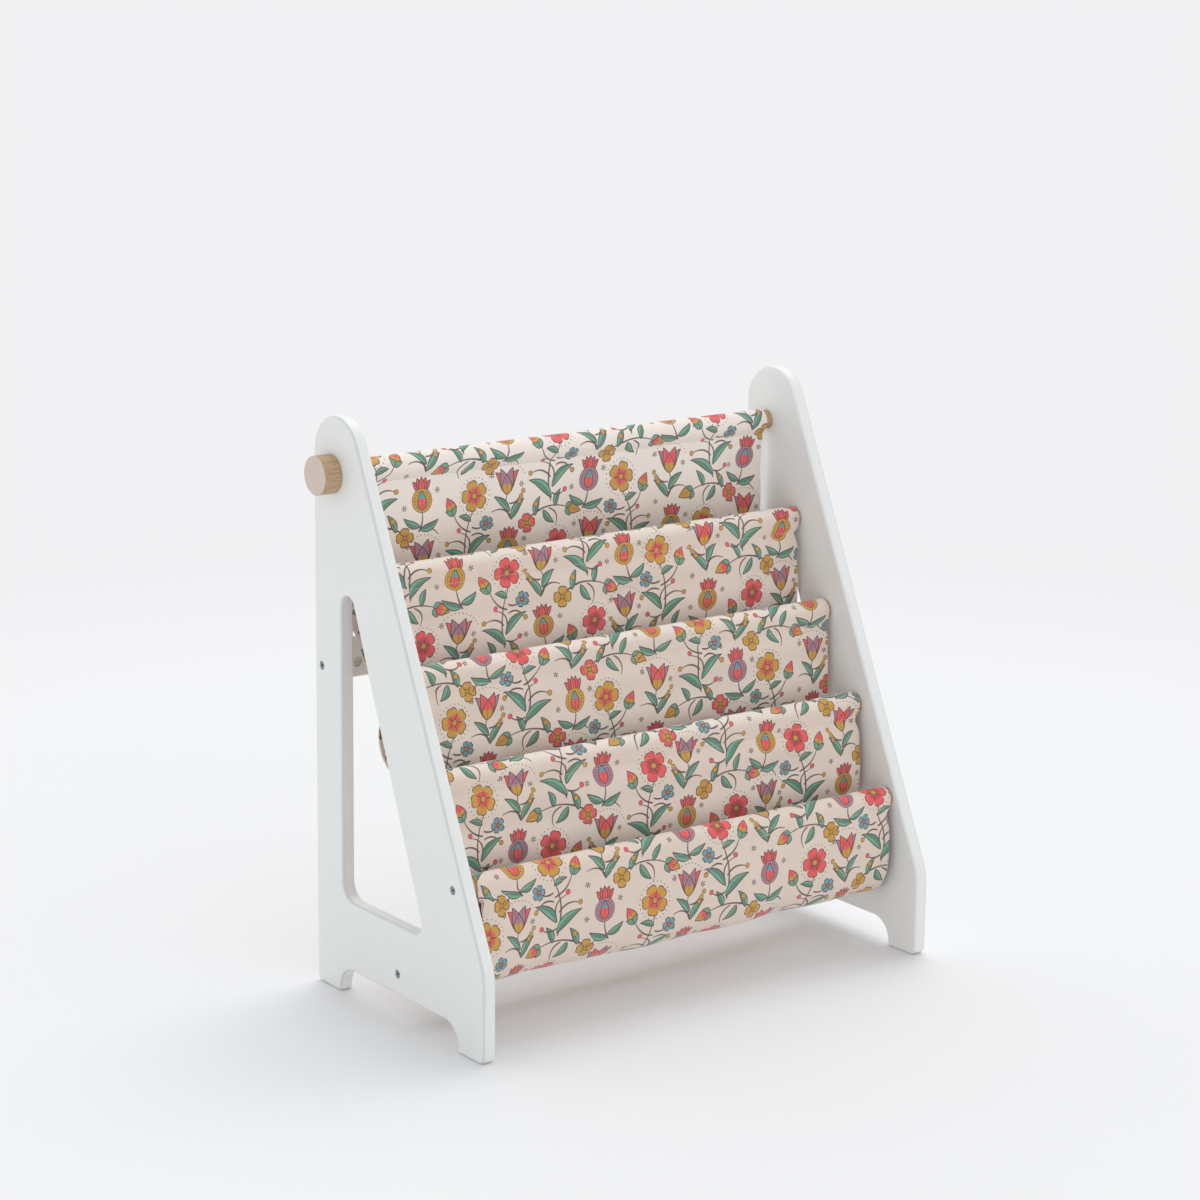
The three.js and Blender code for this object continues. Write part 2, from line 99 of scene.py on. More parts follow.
camera_data = bpy.data.cameras.new("photographer")
camera_data.lens = LENS_MM
camera_data.sensor_width = SENSOR_MM
camera = new_object("photographer", camera_data)
aim = Vector((
    math.sin(CAMERA_YAW) * math.cos(CAMERA_PITCH),
    math.cos(CAMERA_YAW) * math.cos(CAMERA_PITCH),
    -math.sin(CAMERA_PITCH),
))
level_right = Vector((math.cos(CAMERA_YAW), -math.sin(CAMERA_YAW), 0))
level_up = level_right.cross(aim)
right = level_right * math.cos(CAMERA_ROLL) + level_up * math.sin(CAMERA_ROLL)
up = level_up * math.cos(CAMERA_ROLL) - level_right * math.sin(CAMERA_ROLL)
turned_frame = Matrix((right, up, -aim)).transposed().to_4x4()
camera.matrix_world = Matrix.Translation(CAMERA_PLACE) @ turned_frame
bpy.context.scene.camera = camera

# %% [markdown]
# Materials are node trees, and most of what they do is arithmetic. A wire that can be added,
# multiplied and compared keeps that arithmetic readable: `abs(x) - width` makes two Math
# nodes, and the formula stays in sight.

# %% Wires: node arithmetic written as sums


class Wire:
    """An output of a node, which sums can be written with."""

    def __init__(self, tree, socket):
        self.tree = tree
        self.socket = socket

    def math(self, operation, *others):
        return math_node(self.tree, operation, self, *others)

    def __add__(self, other):
        return self.math("ADD", other)

    def __sub__(self, other):
        return self.math("SUBTRACT", other)

    def __rsub__(self, other):
        return math_node(self.tree, "SUBTRACT", other, self)

    def __mul__(self, other):
        return self.math("MULTIPLY", other)

    def __truediv__(self, other):
        return self.math("DIVIDE", other)

    def __pow__(self, other):
        return self.math("POWER", other)

    def __abs__(self):
        return self.math("ABSOLUTE")

    __radd__ = __add__
    __rmul__ = __mul__


def plug(socket, value):
    """Links a wire to a socket, or writes a plain value on it."""
    if isinstance(value, Wire):
        value.tree.links.new(value.socket, socket)
    else:
        socket.default_value = value


def fill(node, values):
    """Plugs a node's inputs by name, with underscores for spaces."""
    for name, value in values.items():
        plug(node.inputs[name.replace("_", " ")], value)


def math_node(tree, operation, *values):
    node = tree.nodes.new("ShaderNodeMath")
    node.operation = operation
    for socket, value in zip(node.inputs, values):
        plug(socket, value)
    return Wire(tree, node.outputs[0])


def node_of(tree, kind, settings=None, **values):
    """A node with its settings and its inputs filled by name, as {output name: wire}."""
    node = tree.nodes.new(kind)
    for name, value in (settings or {}).items():
        setattr(node, name, value)
    fill(node, values)
    return {socket.name: Wire(tree, socket) for socket in node.outputs}


# %% [markdown]
# With wires the everyday steps become short: take a vector apart, step softly from 1 to 0
# where a value passes an edge, and mix two colours by a mask. A Mix node has a pair of sockets
# for every kind of value, and its colours are the sockets numbered here.

# %% Everyday nodes
MIX_FACTOR, MIX_BELOW, MIX_ABOVE, MIX_COLOUR = 0, 6, 7, 2


def parts_of(vector):
    """The X, Y and Z of a vector wire."""
    found = node_of(vector.tree, "ShaderNodeSeparateXYZ", Vector=vector)
    return found["X"], found["Y"], found["Z"]


def vector_of(tree, x, y, z=0.0):
    return node_of(tree, "ShaderNodeCombineXYZ", X=x, Y=y, Z=z)["Vector"]


def under(value, edge, softness):
    """1 where value is below edge, 0 above it, with a soft step between."""
    return node_of(
        value.tree, "ShaderNodeMapRange", {"interpolation_type": "SMOOTHSTEP", "clamp": False},
        Value=value - edge, From_Min=-softness, From_Max=softness, To_Min=1, To_Max=0)["Result"]


def mixed(mask, below, above):
    """A colour that goes from below to above as the mask goes from 0 to 1."""
    node = mask.tree.nodes.new("ShaderNodeMix")
    node.data_type = "RGBA"
    for index, value in ((MIX_FACTOR, mask), (MIX_BELOW, below), (MIX_ABOVE, above)):
        plug(node.inputs[index], value)
    return Wire(mask.tree, node.outputs[MIX_COLOUR])


def either(a, b):
    return a.math("MAXIMUM", b)


def both(a, b):
    return a.math("MINIMUM", b)


# %% [markdown]
# An effect that several finishes share is a node group with named inputs, built once. A group
# is started from a table of its inputs and their values, filled with nodes, and given its
# outputs. Then it can be placed in any tree.

# %% Shader groups
def new_group(name, inputs, outputs):
    """A group and its inputs as wires by name; an input that starts as None is a vector."""
    group = bpy.data.node_groups.new(name, "ShaderNodeTree")
    for label, start in inputs.items():
        kind = {float: "Float", tuple: "Color"}.get(type(start), "Vector")
        socket = group.interface.new_socket(name=label, in_out="INPUT", socket_type=f"NodeSocket{kind}")
        if start is not None:
            socket.default_value = start
    for label in outputs:
        kind = "Color" if label == "Color" else "Float"
        group.interface.new_socket(name=label, in_out="OUTPUT", socket_type=f"NodeSocket{kind}")
    return group, group_ends(group)


def group_ends(group):
    """Gives a tree its input and output nodes, the inputs as wires by name."""
    entry = group.nodes.new("NodeGroupInput")
    group.nodes.new("NodeGroupOutput")
    return {socket.name: Wire(group, socket) for socket in entry.outputs if socket.name}


def put_out(group, **wires):
    """Plugs wires into a tree's outputs by name, and gives the finished tree."""
    fill(group.nodes["Group Output"], wires)
    return group


def place_group(tree, group, **values):
    return node_of(tree, "ShaderNodeGroup", {"node_tree": group}, **values)


# %% [markdown]
# Every finish starts from the Principled shader. Its inputs are filled by name: a wire where
# the value changes over the surface, and a plain number on the socket where it doesn't.

# %% Finishes: a start
def new_material(name):
    """A material with a Principled shader, and its tree."""
    material = bpy.data.materials.new(name)
    material.use_nodes = True
    return material, material.node_tree


def coated(material, **values):
    """Fills the Principled shader's inputs by name, and gives the finished material."""
    fill(material.node_tree.nodes["Principled BSDF"], values)
    return material


def raised(height, distance, strength=1.0):
    """A normal from a height in metres times distance."""
    return node_of(
        height.tree, "ShaderNodeBump", Distance=distance, Strength=strength, Height=height)["Normal"]


def place_on(tree):
    return node_of(tree, "ShaderNodeTexCoord")["Object"]


def stretched(vector, *scales):
    """A vector scaled along each axis."""
    node = vector.tree.nodes.new("ShaderNodeVectorMath")
    node.operation = "MULTIPLY"
    for socket, value in zip(node.inputs, (vector, scales)):
        plug(socket, value)
    return Wire(vector.tree, node.outputs[0])


def noise(vector, scale, detail=2.0, roughness=0.5):
    return node_of(vector.tree, "ShaderNodeTexNoise", Vector=vector, Scale=scale,
                   Detail=detail, Roughness=roughness)["Fac"]


def srgb(red, green, blue):
    """A colour given as it looks on screen, 0 to 255, as the renderer wants it."""
    def linear(part):
        share = part / 255
        return share / 12.92 if share <= 0.04045 else ((share + 0.055) / 1.055) ** 2.4
    return (linear(red), linear(green), linear(blue), 1.0)


# %% [markdown]
# White lacquer on fibreboard is sprayed on, so it has no grain, only a very fine orange peel
# and a sheen that varies a little. The peel is a small bump from noise, too fine to see from
# a step away, but it breaks up the highlight on the eased edges. The rounding beside each
# panel's outer face is painted a little greyer: painted shade, the dark line where the edge
# turns from the light.

# %% White lacquer
EDGE_EASE = 0.0028
SPRAYED = srgb(239, 240, 239), srgb(244, 245, 244)
# Painted shade: a greyer band on the rounding beside each panel's outer face.
EDGE_SHADE = srgb(222, 225, 225)
EDGE_SHADE_REACH = EDGE_EASE * 0.4
EDGE_SHADE_FADE = EDGE_EASE * 0.14
CLOUD_SCALE = 9.0
DAB_SCALE = 60.0
PEEL_SCALE = 420.0
PEEL_HEIGHT = 0.00006


def make_lacquer():
    material, tree = new_material("sprayed_lacquer")
    here = place_on(tree)
    cloudy = noise(here, CLOUD_SCALE, 3.0)
    peel = noise(here, PEEL_SCALE)
    dabs = noise(stretched(here, 1.0, 1.0, 0.25), DAB_SCALE)
    coat = mixed((cloudy + dabs) / 2, *SPRAYED)
    x, _, _ = parts_of(here)
    # Painted shade along the rounding beside the outer face.
    edge_shade_mask = under(abs(abs(x) - outer_face + EDGE_EASE / 2), EDGE_SHADE_REACH, EDGE_SHADE_FADE)
    return coated(material, Base_Color=mixed(edge_shade_mask, coat, EDGE_SHADE),
                  Roughness=0.36 + 0.12 * cloudy, Normal=raised(peel, PEEL_HEIGHT))


# %% [markdown]
# Beech is pale and close grained. Along the stick it shows fine streaks and short dark
# flecks, and on an end it shows the arcs of its year rings. One group does both: rings are
# circles round a pith that lies outside the stick, and everything is drawn out along X, the
# way all the turned pieces of this shelf run.

# %% Beech grain
RING_WIDTH = 0.0022
WAVINESS = 0.0012
DRIFT_SCALE = 55.0
STREAK_SCALE = 900.0
FLECK_SCALE = 1500.0
GRAIN_DEPTH = 0.00012
END_SKIN = 0.0006
ALONG_GRAIN = srgb(172, 136, 102), srgb(222, 192, 158)
RINGS_ALONG = srgb(160, 120, 86)
FLECKS_ALONG = srgb(122, 86, 60)
END_GRAIN = srgb(222, 206, 194), srgb(188, 164, 148)
RINGS_ON_END = srgb(192, 164, 148)


def make_grain_group():
    group, given = new_group(
        "beech_grain",
        {"Vector": None, "Pith Y": 0.03, "Pith Z": -0.04, "Ring Width": RING_WIDTH, "Waviness": WAVINESS},
        ["Rings", "Streaks", "Flecks"],
    )
    here = given["Vector"]
    _, y, z = parts_of(here)
    drift = noise(stretched(here, 0.2, 1.0, 1.0), DRIFT_SCALE, 3.0) - 0.5
    across = y - given["Pith Y"]
    rise = z - given["Pith Z"]
    reach = (across * across + rise * rise).math("SQRT") + given["Waviness"] * drift
    phase = (reach / given["Ring Width"]).math("FRACT")
    rings = phase ** 2.5 * under(phase, 0.94, 0.06)
    streaks = noise(stretched(here, 0.035, 1.0, 1.0), STREAK_SCALE, 3.0, 0.6)
    fine = noise(stretched(here, 0.16, 1.0, 1.0), FLECK_SCALE, 1.0)
    return put_out(group, Rings=rings, Streaks=streaks, Flecks=1 - under(fine, 0.66, 0.05))


grain_group = make_grain_group()


def make_beech(name, pith, end):
    """Oiled beech whose rings turn round a pith at (y, z), cut across at end on both sides."""
    material, tree = new_material(name)
    here = place_on(tree)
    x, _, _ = parts_of(here)
    grain = place_group(tree, grain_group, Vector=here, Pith_Y=pith[0], Pith_Z=pith[1])
    ringed = mixed(grain["Rings"] * 0.5, mixed(grain["Streaks"], *ALONG_GRAIN), RINGS_ALONG)
    flecked = mixed(grain["Flecks"] * 0.5, ringed, FLECKS_ALONG)
    pores = mixed(grain["Flecks"] * 0.4, *END_GRAIN)
    across = mixed(grain["Rings"] * 0.45, pores, RINGS_ON_END)
    return coated(
        material,
        Base_Color=mixed(under(abs(x), end - END_SKIN, END_SKIN / 2), across, flecked),
        Roughness=0.5 + 0.14 * grain["Streaks"],
        Normal=raised(grain["Streaks"] - 0.6 * grain["Flecks"], GRAIN_DEPTH),
    )


# %% [markdown]
# The screws and nuts are zinc plate: a metal with a faintly blue cast, scuffed all over by the
# tumbling it gets in the drum. Whatever lies deeper than the face of a screw's head, in its
# recess and round its rim, is painted dark, as painted shade. The screws' plate is painted
# darker than the metal, a painted reflection of a darker room, and the nuts are a lighter copy
# of it, painted light, with no painted shade.

# %% Zinc plate
HEAD_SINK = 0.0004
RIM_DEPTH = 0.00035
RECESS_SHADE_SOFTNESS = 0.0001
# Painted shade: the dark colour of a screw's recess and rim.
RECESS_SHADE_COLOUR = srgb(26, 32, 36)
SCUFF_SCALE = 900.0
SCUFF_DEPTH = 0.00003
head_face = outer_face - HEAD_SINK


def make_zinc(name, dull, bright, shade_share):
    material, tree = new_material(name)
    here = place_on(tree)
    x, _, _ = parts_of(here)
    scuffs = noise(here, SCUFF_SCALE, 3.0, 0.7)
    plated = mixed(scuffs, dull, bright)
    # Painted shade: dark wherever the surface lies deeper than the face of the head.
    recess_shade = under(abs(x), head_face - RIM_DEPTH, RECESS_SHADE_SOFTNESS) * shade_share
    return coated(material, Base_Color=mixed(recess_shade, plated, RECESS_SHADE_COLOUR), Metallic=1.0,
                  Roughness=0.24 + 0.2 * scuffs, Normal=raised(scuffs, SCUFF_DEPTH))


lacquer = make_lacquer()
# The screws' plate is painted darker, a painted reflection; the nuts are a lighter copy, painted light, with
# no painted shade.
zinc = make_zinc("bright_zinc", srgb(112, 126, 134), srgb(176, 190, 196), 0.85)
lit_nut_zinc = make_zinc("clean_zinc", srgb(228, 231, 231), srgb(242, 244, 244), 0.0)
print("finishes:", lacquer.name, zinc.name, lit_nut_zinc.name)

# %% [markdown]
# Every piece ends up as a plain mesh at the origin. Faces that meet at a sharp angle keep
# their edge, and the rest is shaded smooth. Weighted normals keep large flat faces flat right
# up to a rounded edge, as on a sprayed board.

# %% Helpers for meshes
SHARP_ANGLE = math.radians(32)
FLAT_FACE_WEIGHT = 80
WELD = 0.00001


def mesh_from(name, vertices, faces):
    mesh = bpy.data.meshes.new(name)
    mesh.from_pydata([tuple(vertex) for vertex in vertices], [], faces)
    mesh.validate()
    mesh.update()
    return mesh


def evaluated_mesh(made):
    """The mesh that an object's modifiers or curve settings give."""
    graph = bpy.context.evaluated_depsgraph_get()
    return bpy.data.meshes.new_from_object(made.evaluated_get(graph), depsgraph=graph)


def flatten(made):
    """Replaces an object by a plain mesh object of the same name, with no modifiers."""
    name, mesh = made.name, evaluated_mesh(made)
    bpy.data.objects.remove(made)
    return new_object(name, mesh)


def welded(mesh):
    work = bmesh.new()
    work.from_mesh(mesh)
    bmesh.ops.remove_doubles(work, verts=work.verts, dist=WELD)
    bmesh.ops.recalc_face_normals(work, faces=work.faces)
    work.to_mesh(mesh)
    work.free()
    return mesh


def finished(made, material):
    """Shades a piece, gives it its finish and sets it on the frame."""
    made.data.shade_smooth()
    made.data.set_sharp_from_angle(angle=SHARP_ANGLE)
    weigh = made.modifiers.new("flat_faces", "WEIGHTED_NORMAL")
    weigh.keep_sharp = True
    weigh.weight = FLAT_FACE_WEIGHT
    made = flatten(made)
    made.data.materials.clear()
    made.data.materials.append(material)
    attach(made, "root")
    return made


# %% [markdown]
# Knobs, rods, screws and the tools that bore the holes are all turned: a profile of distances
# along X and radii, spun round the axis. Where the profile meets the axis it closes to one
# point, so each turned piece is closed. A hole is a little wider than what goes into it, and
# its cutter starts a little outside the wood.

# %% Turned pieces
SIDES = (("left", -1), ("right", 1))
TURNED_SIDES = 72
FIT = 0.0003
OVERRUN = 0.001


def turned_mesh(name, profile, y, z, sides=TURNED_SIDES):
    """A mesh spun round an axis along X through (y, z), from (x, radius) pairs."""
    vertices = []
    rings = []
    for x, radius in profile:
        if radius == 0:
            rings.append([len(vertices)])
            vertices.append((x, y, z))
            continue
        rings.append(list(range(len(vertices), len(vertices) + sides)))
        for side in range(sides):
            angle = 2 * math.pi * side / sides
            vertices.append((x, y + radius * math.cos(angle), z + radius * math.sin(angle)))
    faces = []
    for before, after in zip(rings, rings[1:]):
        for side in range(sides):
            a, b = before[side % len(before)], before[(side + 1) % len(before)]
            c, d = after[(side + 1) % len(after)], after[side % len(after)]
            faces.append(list(dict.fromkeys((a, b, c, d))))
    return welded(mesh_from(name, vertices, faces))


def eased(x, radius, inwards, ease, steps=5):
    """A rounded rim of a turned piece, from its end face at x to its side; inwards is the way in."""
    quarter = [math.pi / 2 * step / steps for step in range(steps + 1)]
    return [(x + inwards * ease * (1 - math.cos(a)), radius - ease * (1 - math.sin(a))) for a in quarter]


def bored(start, end, radius):
    """The profile of a plain hole, a little wider than what goes into it."""
    return [(start, 0), (start, radius + FIT), (end, radius + FIT), (end, 0)]


def cut(made, cutters):
    """Takes the cutter meshes out of an object."""
    tools = [new_object("cutter", mesh) for mesh in cutters]
    for tool in tools:
        step = made.modifiers.new("bore", "BOOLEAN")
        step.operation = "DIFFERENCE"
        step.solver = "EXACT"
        step.object = tool
    plain = flatten(made)
    for tool in tools:
        bpy.data.objects.remove(tool)
    return plain


# %% [markdown]
# A side panel is cut from 15 mm board. Its outline is a leaning triangle with a round top, a
# soft knee and an arch between two feet, with a window that follows the same slopes. A curve
# object suits this: it fills a shape with a hole, gives it thickness and rounds both faces'
# edges in one go. The outline's sharp corners are listed once, each with its own radius.

# %% Panel outline
PANEL_HEIGHT = 0.600
TOP_RADIUS = 0.041
KNEE_HEIGHT = 0.091
KNEE_RADIUS = 0.060
FOOT_WIDTH = 0.044
FOOT_OUTER_RADIUS = 0.008
FOOT_INNER_RADIUS = 0.003
ARCH_HEIGHT = 0.028
ARCH_RADIUS = 0.024
STILE_WIDTH = 0.0495
WINDOW_BOTTOM = 0.1015
WINDOW_TOP = 0.4205
WINDOW_FRONT_SETBACK = 0.1035
WINDOW_TOP_RADIUS = 0.0115
WINDOW_REAR_RADIUS = 0.020
WINDOW_FRONT_RADIUS = 0.012
ARC_STEP = math.radians(4)
SHORTEST_SHARE = 0.98


def rounded(corners):
    """A closed outline from corners (y, z, radius), each rounded, arcs drawn in to fit short edges."""
    points = [Vector(corner[:2]) for corner in corners]
    count = len(points)
    ways = [points[(i + 1) % count] - points[i] for i in range(count)]
    halves = [(-ways[i - 1]).angle(ways[i]) / 2 for i in range(count)]
    wanted = [corners[i][2] / math.tan(halves[i]) for i in range(count)]
    room = [ways[i].length * SHORTEST_SHARE / (wanted[i] + wanted[(i + 1) % count]) for i in range(count)]
    outline = []
    for i, point in enumerate(points):
        reach = wanted[i] * min(1, room[i], room[i - 1])
        radius = reach * math.tan(halves[i])
        before = -ways[i - 1].normalized()
        after = ways[i].normalized()
        centre = point + (before + after).normalized() * radius / math.sin(halves[i])
        start = point + before * reach - centre
        end = point + after * reach - centre
        sweep = math.atan2(start.x * end.y - start.y * end.x, start.dot(end))
        steps = max(2, math.ceil(abs(sweep) / ARC_STEP))
        for step in range(steps + 1):
            outline.append(Matrix.Rotation(sweep * step / steps, 2) @ start + centre)
    return outline


def sharp_tip(front, bottom, back, top, radius):
    """Height where an upright back meets the slope that just touches a round top."""
    rise = top - radius - bottom
    run = back - radius - front
    lean = math.atan2(rise, run) + math.asin(radius / math.hypot(rise, run))
    return bottom + (back - front) * math.tan(lean)


def panel_outline():
    front, back = panel_low.y, panel_high.y
    tip = sharp_tip(front, KNEE_HEIGHT, back, PANEL_HEIGHT, TOP_RADIUS)
    return rounded([
        (back, 0, FOOT_OUTER_RADIUS),
        (back, tip, TOP_RADIUS),
        (front, KNEE_HEIGHT, KNEE_RADIUS),
        (front, 0, FOOT_OUTER_RADIUS),
        (front + FOOT_WIDTH, 0, FOOT_INNER_RADIUS),
        (front + FOOT_WIDTH, ARCH_HEIGHT, ARCH_RADIUS),
        (back - FOOT_WIDTH, ARCH_HEIGHT, ARCH_RADIUS),
        (back - FOOT_WIDTH, 0, FOOT_INNER_RADIUS),
    ])


def window_outline():
    front, back = panel_low.y + WINDOW_FRONT_SETBACK, panel_high.y - STILE_WIDTH
    tip = sharp_tip(front, WINDOW_BOTTOM, back, WINDOW_TOP, WINDOW_TOP_RADIUS)
    return rounded([
        (back, WINDOW_BOTTOM, WINDOW_REAR_RADIUS),
        (back, tip, WINDOW_TOP_RADIUS),
        (front, WINDOW_BOTTOM, WINDOW_FRONT_RADIUS),
    ])


print("panel outline:", len(panel_outline()), "points, window:", len(window_outline()))

# %% [markdown]
# A board is that outline as a filled curve. Blender extrudes a flat curve to both sides of
# its plane, so the board is built round its own middle and then stood up: the drawing's X and
# Y become the shelf's Y and Z, and the thickness runs along X.

# %% Boards
DRAWING_TO_SHELF = Matrix(((0, 0, 1, 0), (1, 0, 0, 0), (0, 1, 0, 0), (0, 0, 0, 1)))
EASE_STEPS = 4


def board(name, outlines, middle_x, thickness, ease):
    """A board of the given outlines, the first one outside and the others cut out."""
    curve = bpy.data.curves.new(name, "CURVE")
    curve.dimensions = "2D"
    curve.fill_mode = "BOTH"
    curve.extrude = thickness / 2 - ease
    curve.bevel_depth = ease
    curve.bevel_resolution = EASE_STEPS
    curve.offset = -ease
    for outline in outlines:
        spline = curve.splines.new("POLY")
        spline.points.add(len(outline) - 1)
        for point, place in zip(spline.points, outline):
            point.co = (place[0], place[1], 0, 1)
        spline.use_cyclic_u = True
    drawn = new_object(name, curve)
    mesh = evaluated_mesh(drawn)
    bpy.data.objects.remove(drawn)
    mesh.transform(Matrix.Translation((middle_x, 0, 0)) @ DRAWING_TO_SHELF)
    return new_object(name, welded(mesh))


# %% [markdown]
# The panels are bored from inside for the rods and from outside for the screws, whose heads
# sink just under the face. Each stepped hole is one turned cutter, taken out with a Boolean.

# %% Side panels
SOCKET_DEPTH = rod_end - inner_face
HEAD_RADIUS = 0.00425
HEAD_THICKNESS = 0.0035
SHANK_RADIUS = 0.0025
STUD_RADIUS = 0.003
DOWEL_RADIUS = 0.004
DOWEL_DEPTH = 0.010

board_thickness = outer_face - inner_face
stretcher_place = middle("lower_stretcher")
bolt_place = middle("rail_bolt_left")
dowel_place = middle("rail_dowel_left")


def panel_cutters(side):
    """The cutters for one panel, from (depth from its inner face, radius) profiles."""
    floor = SOCKET_DEPTH + FIT
    seat = board_thickness - HEAD_SINK - HEAD_THICKNESS - FIT
    through = board_thickness + OVERRUN
    blind = bored(-OVERRUN, floor, rod_radius)
    socket = blind[:-1]
    sink = [(seat, SHANK_RADIUS + FIT), *bored(seat, through, HEAD_RADIUS)[1:]]
    studded = [*socket, *bored(floor, through, STUD_RADIUS)[1:]]
    screwed = [*socket, (floor, SHANK_RADIUS + FIT), *sink]
    bolted = [(-OVERRUN, 0), (-OVERRUN, SHANK_RADIUS + FIT), *sink]
    dowelled = bored(-OVERRUN, DOWEL_DEPTH + FIT, DOWEL_RADIUS)
    holes = [(rod_places[0], studded), (rod_places[4], screwed), (stretcher_place, screwed)]
    holes += [(place, blind) for place in rod_places[1:4]]
    holes += [(bolt_place, bolted), (dowel_place, dowelled)]
    return [
        turned_mesh("cutter", [(side * (inner_face + x), radius) for x, radius in steps], place.y, place.z)
        for place, steps in holes
    ]


for side_name, side in SIDES:
    blank = board(
        f"panel_{side_name}",
        [panel_outline(), window_outline()],
        side * (inner_face + outer_face) / 2,
        board_thickness,
        EDGE_EASE,
    )
    panel = finished(cut(blank, panel_cutters(side)), lacquer)
    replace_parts(panel, f"side_panel_{side_name}")
    print(panel.name, len(panel.data.polygons), "faces")

# %% [markdown]
# The rear rail is a plain lacquered batten behind the sling. It ends square against the
# panels and is bored for its bolts, dowels and barrel nuts.

# %% Rear rail
RAIL_EASE = 0.0015
NUT_RADIUS = 0.005
DOWEL_RAIL_DEPTH = 0.020
BOLT_LENGTH = 0.046
QUARTER_TURN = Matrix.Rotation(math.pi / 2, 4, "Z")

rail_low, rail_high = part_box("rear_rail")
nut_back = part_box("barrel_nut_right")[1].y
nut_place = middle("barrel_nut_right")


def rail_mesh():
    """The rail's rounded section drawn along X, closed at both ends."""
    section = rounded([
        (rail_low.y, rail_low.z, RAIL_EASE), (rail_high.y, rail_low.z, RAIL_EASE),
        (rail_high.y, rail_high.z, RAIL_EASE), (rail_low.y, rail_high.z, RAIL_EASE),
    ])
    count = len(section)
    vertices = [(x, *point) for x in (rail_low.x, rail_high.x) for point in section]
    faces = [[i, (i + 1) % count, count + (i + 1) % count, count + i] for i in range(count)]
    faces += [list(range(count))[::-1], list(range(count, 2 * count))]
    return welded(mesh_from("rail", vertices, faces))


def rail_cutters():
    cutters = []
    for side in (-1, 1):
        for place, radius, end in (
            (bolt_place, SHANK_RADIUS, head_face - BOLT_LENGTH),
            (dowel_place, DOWEL_RADIUS, inner_face - DOWEL_RAIL_DEPTH),
        ):
            profile = bored(side * (rail_high.x + OVERRUN), side * (end - FIT), radius)
            cutters.append(turned_mesh("cutter", profile, place.y, place.z))
        nut_hole = turned_mesh("cutter", bored(rail_low.y - OVERRUN, nut_back + FIT, NUT_RADIUS), 0, 0)
        nut_hole.transform(Matrix.Translation((side * nut_place.x, 0, nut_place.z)) @ QUARTER_TURN)
        cutters.append(nut_hole)
    return cutters


rail = finished(cut(new_object("rail", rail_mesh()), rail_cutters()), lacquer)
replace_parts(rail, "rear_rail")
print(rail.name, len(rail.data.polygons), "faces")

# %% [markdown]
# Rods, screws and stitches each follow a rule, and Geometry Nodes hold a rule as a tree with
# named inputs. All of them end alike: copies are made real, the finish is set, and the result
# becomes a plain mesh.

# %% Geometry Nodes: starting a tree and running it
def new_rule(name, **inputs):
    """A geometry tree and its inputs as wires by name: a geometry, those named here and a material."""
    tree = bpy.data.node_groups.new(name, "GeometryNodeTree")
    for label, kind in {"Geometry": "Geometry", **inputs, "Material": "Material"}.items():
        tree.interface.new_socket(
            name=label.replace("_", " "), in_out="INPUT", socket_type=f"NodeSocket{kind}")
    tree.interface.new_socket(name="Geometry", in_out="OUTPUT", socket_type="NodeSocketGeometry")
    return tree, group_ends(tree)


def dressed(geometry, material):
    """Ends a rule: makes its copies real, gives them their finish and puts them out."""
    tree = geometry.tree
    real = node_of(tree, "GeometryNodeRealizeInstances", Geometry=geometry)["Geometry"]
    clad = node_of(tree, "GeometryNodeSetMaterial", Geometry=real, Material=material)["Geometry"]
    return put_out(tree, Geometry=clad)


def copied(points, given, turn):
    """Ends a rule with its master, turned and copied onto every point."""
    tree = points.tree
    master = node_of(tree, "GeometryNodeObjectInfo", Object=given["Master"])["Geometry"]
    copies = node_of(tree, "GeometryNodeInstanceOnPoints", Points=points, Instance=master, Rotation=turn)
    return dressed(copies["Instances"], given["Material"])


def grown(name, tree, start, **values):
    """Runs a geometry tree on a start mesh or curve and keeps the result as a plain mesh."""
    host = new_object(name, start)
    step = host.modifiers.new("rule", "NODES")
    step.node_group = tree
    for item in tree.interface.items_tree:
        label = item.name.replace(" ", "_")
        if item.in_out == "INPUT" and label in values:
            step[item.identifier] = values[label]
    return flatten(host)


# %% [markdown]
# The six rods differ only in their place: each is a round stick along X with its end edges
# taken off. A plain cylinder with three bands gives the points, and one Set Position node
# moves them: the inner rings out to where the chamfer starts, and the end rings in. Each rod
# gets a pith of its own, so no two show the same grain.

# %% Rods
ROD_CHAMFER = 0.001
ROD_BANDS = 3
END_SHARE = 0.6


def make_rod_rule():
    tree, given = new_rule("rod_rule", Radius="Float", Half_Length="Float", Chamfer="Float", Place="Vector")
    half = given["Half Length"]
    stick = node_of(tree, "GeometryNodeMeshCylinder", Vertices=TURNED_SIDES, Side_Segments=ROD_BANDS,
                    Radius=given["Radius"], Depth=2 * half)["Mesh"]
    x, y, z = parts_of(node_of(tree, "GeometryNodeInputPosition")["Position"])
    at_end = abs(z).math("GREATER_THAN", half * END_SHARE)
    along = z.math("SIGN") * (half - given["Chamfer"] * (1 - at_end))
    narrowed = 1 - at_end * given["Chamfer"] / given["Radius"]
    spot = vector_of(tree, along, x * narrowed, y * narrowed)
    moved = node_of(tree, "GeometryNodeSetPosition", Geometry=stick, Position=spot)["Geometry"]
    lying = node_of(tree, "GeometryNodeTransform", Geometry=moved, Translation=given["Place"])
    return dressed(lying["Geometry"], given["Material"])


